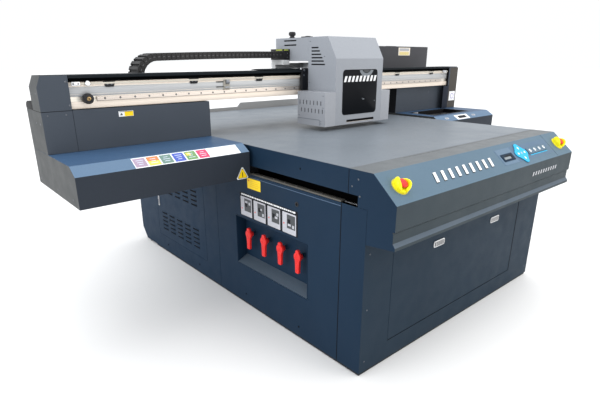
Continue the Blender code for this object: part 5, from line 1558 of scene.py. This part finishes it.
def make_right_side():
    """Louvred service cover and its lock on the cabinet's right side."""
    slots = []
    hoods = Build("right_side_louvres", "base", "blue_paint")
    for column in range(5):
        for row in range(6):
            y = 1.335 + column * 0.088
            z = 0.178 + row * 0.021
            slots.append(opening(right_at(y, z - 0.0035, WIDTH), 0.056, 0.0042))
            outline = [(WIDTH + 0.0001, z + 0.0075), (WIDTH + 0.004, z - 0.001), (WIDTH + 0.0034,
                z - 0.0016), (WIDTH + 0.0001, z - 0.0016)]
            hoods.prism(outline, "y", y - 0.028, y + 0.028, "side", 0.0005, 1)
    hoods.done()
    recut("side_panel_right", "base", "blue_paint", "side", slots, 0.0006)
    seams = Build("right_side_seams", "base", "blue_paint")
    at = right_at(1.5035, 0.386, WIDTH)
    seams.outline_seam(at, 0.623, 0.543)
    seams.plate(right_at(1.047, 0.366, WIDTH), 0.0014, 0.706, 0.0004, "black_parts_and_shade")
    seams.cam_lock(right_at(1.225, 0.42, WIDTH))
    seams.done()


def make_undersides():
    nuts = Build("foot_nuts", "base", "zinc")
    for node in ("foot_front_left", "foot_front_right", "foot_rear_left", "foot_rear_right"):
        middle = (low_of(node) + high_of(node)) / 2
        at = top_at(middle.x, middle.y, 0.014)
        nuts.flat(at, circle(0.016, 6), 0.01, "zinc", 0.0, 0.001)
        nuts.disc(at, 0.019, 0.002, "zinc", 0.01, sides=26, bevel=0.0004)
        thread = 0.013
        while thread < 0.028:
            nuts.disc(at, 0.0105, 0.0012, "zinc_dark", thread, sides=20, bevel=0.0004)
            thread += 0.0026
    nuts.done()

    heads = Build("print_head_nozzles", "carriage", "black")
    low, high = low_of("print_head_plate"), high_of("print_head_plate")
    for index in range(3):
        x = low.x + 0.075 + index * 0.1165
        at = plane((x, (low.y + high.y) / 2, low.z), (1, 0, 0), (0, -1, 0))
        heads.plate(at, 0.052, 0.12, 0.0006, "zinc_dark", 0.004, 0.0, bevel=0.0002)
        for offset in (-0.01, 0.01):
            heads.plate(at, 0.0035, 0.096, 0.0002, "brass", 0.001, 0.0006, (offset, 0.0))
    heads.done()

    blower = Build("blower_fittings", "base", "alloy")
    low, high = low_of("vacuum_blower"), high_of("vacuum_blower")
    middle_x = (low.x + high.x) / 2
    for index in range(10):
        y = low.y + 0.255 + index * 0.0095
        blower.turned(plane((middle_x, y, 0.26), (1, 0, 0), (0, 0, 1)), [(0.0895, 0.0),
            (0.0895, 0.003)], "alloy", 28)
    blower.done()

    power = Build("control_modules", "base", "black")
    low, high = low_of("electrical_box"), high_of("electrical_box")
    rng = random.Random(11)
    for row in range(2):
        x = low.x + 0.04
        while x < high.x - 0.11:
            width = rng.uniform(0.045, 0.075)
            z = low.z + 0.05 + row * 0.18
            front = high.y - rng.uniform(0.09, 0.13)
            key = rng.choice(("black", "zinc", "white", "frame"))
            power.box((x, front, z), (x + width, high.y - 0.004, z + 0.11), key, 0.002)
            power.box((x + 0.008, front - 0.006, z + 0.01), (x + width - 0.008, front + 0.004,
                z + 0.028), "sage", 0.001)
            x += width + 0.014
        power.box((low.x + 0.02, high.y - 0.016, low.z + 0.095 + row * 0.18), (high.x - 0.02,
            high.y - 0.003, low.z + 0.125 + row * 0.18), "zinc", 0.001)
    power.done()


def make_plinth():
    """Dark strip set back under the cabinet's panels, standing for the contact shadow along their
    bottom edge: painted shade.
    """
    strip = Build("plinth_shadow_strip", "base", "rubber")
    inset, thick, low, high = 0.004, 0.003, 0.0005, 0.013
    front, back = 0.0, high_of("side_panel_left_rear").y
    for x_low, y_low, x_high, y_high in (
            (inset, front + inset, WIDTH - inset, front + inset + thick),
            (inset, back - inset - thick - 0.1, WIDTH - inset, back - inset - 0.1),
            (inset, front + inset + thick, inset + thick, 1.9),
            (WIDTH - inset - thick, front + inset + thick, WIDTH - inset, 2.0)):
        strip.box((x_low, y_low, low), (x_high, y_high, high), "rubber", 0.0008)
    strip.done()


MAKERS = (make_console_details, make_front_details, make_placards, make_handles, make_side_door,
    make_lock_and_latch, make_side_screws, make_leg_slots, make_side_seams, make_wing_labels,
    make_wing_screws, make_beam_details, make_cap_recess, make_ink_details, make_carriage,
    make_slider_details, make_chain, make_rear, make_right_side, make_undersides, make_plinth)


# ---- Whole machine -------------------------------------------------------------------------
SADDLE_HEIGHT = 1.181
LIP_HEIGHT = 0.64


def paint_where(node, key, test):
    """Another coat on a node's faces whose middle and normal pass the test."""
    data = NODES[node].data
    data.materials.append(PAINTS[key])
    for face in data.polygons:
        if test(face.center - ORIGIN, face.normal):
            face.material_index = len(data.materials) - 1


# Nodes, their coat, how far their edges are softened and the coats of faces that look one way.
# The coats of faces that look one way are mostly lighter and darker copies of the node's paint:
# painted light and shade for how light falls on each face.
NODE_PAINT = (
    ("table_skirt_left table_skirt_right side_panel_left_front side_panel_left_rear", "side",
     0.0012, {}),
    ("valve_tray", "side", 0.0008, {}),
    ("console_shell", "side", 0.0012, {"front": "fascia", "slope": "slope", "top": "strip",
                                       "under": "fascia", "back": "fascia"}),
    ("front_panel front_door electrical_box", "front", 0.0008, {"end": "side"}),
    ("left_wing_cover right_wing_cover", "gantry", 0.0015,
     {"end": "gantry_end", "top": "tray", "slope": "chamfer", "front": "wing_front"}),
    ("left_end_housing", "gantry", 0.0015,
     {"end": "gantry_end", "top": "gantry_roof", "slope": "gantry_roof"}),
    # The right housing's faces that look left, towards the carriage, are near-black: painted
    # shade.
    ("right_end_housing", "gantry", 0.0015,
     {"end": "board", "top": "gantry_roof", "slope": "gantry_roof"}),
    ("beam_cover", "gantry_roof", 0.0008, {}),
    ("ink_box ink_lid", "ink", 0.0008, {"top": "gantry_roof"}),
    ("vacuum_table", "table", 0.0008, {}),
    ("gantry_beam vacuum_manifold vacuum_blower", "alloy", 0.001, {}),
    ("x_rail print_head_plate", "steel", 0.0008, {}),
    ("y_screw_left y_screw_right y_rail_left y_rail_right", "drawn", 0.001, {}),
    ("y_motor_left y_motor_right x_motor cap_station slider_plate", "black", 0.002, {}),
    ("foot_front_left foot_front_right foot_rear_left foot_rear_right", "rubber", 0.001, {}),
    ("arrow_pad", "cyan", 0.0008, {}),
    ("function_keys", "slope", 0.0008, {}),
    ("base_frame gantry_leg_left gantry_leg_right", "frame", 0.003, {}),
)


def paint_nodes():
    for nodes, default, soft, by_facing in NODE_PAINT:
        for node in nodes.split():
            paint_faces(NODES[node], default, by_facing)
            add_softening(NODES[node], soft)
    # The slider plate's faces above SADDLE_HEIGHT are painted white: painted light, so that they
    # read as bright as the open backdrop past them.
    paint_where("slider_plate", "white", lambda place, normal: place.z > SADDLE_HEIGHT)
    # Upward faces of the console shell below LIP_HEIGHT get a darker copy of the slope coat,
    # painted shade; the valve tray's upward faces below the valves get a lighter copy of the side
    # coat, a painted highlight on the sill.
    paint_where("console_shell", "lip_shade_and_light",
                lambda place, normal: place.z < LIP_HEIGHT and normal.z > 0.2)
    paint_where("valve_tray", "lip_shade_and_light", lambda place, normal: place.z < VALVE_Z and normal.z > 0.2)


make_camera()
make_stage()
make_materials()
paint_nodes()
for maker in MAKERS:
    maker()
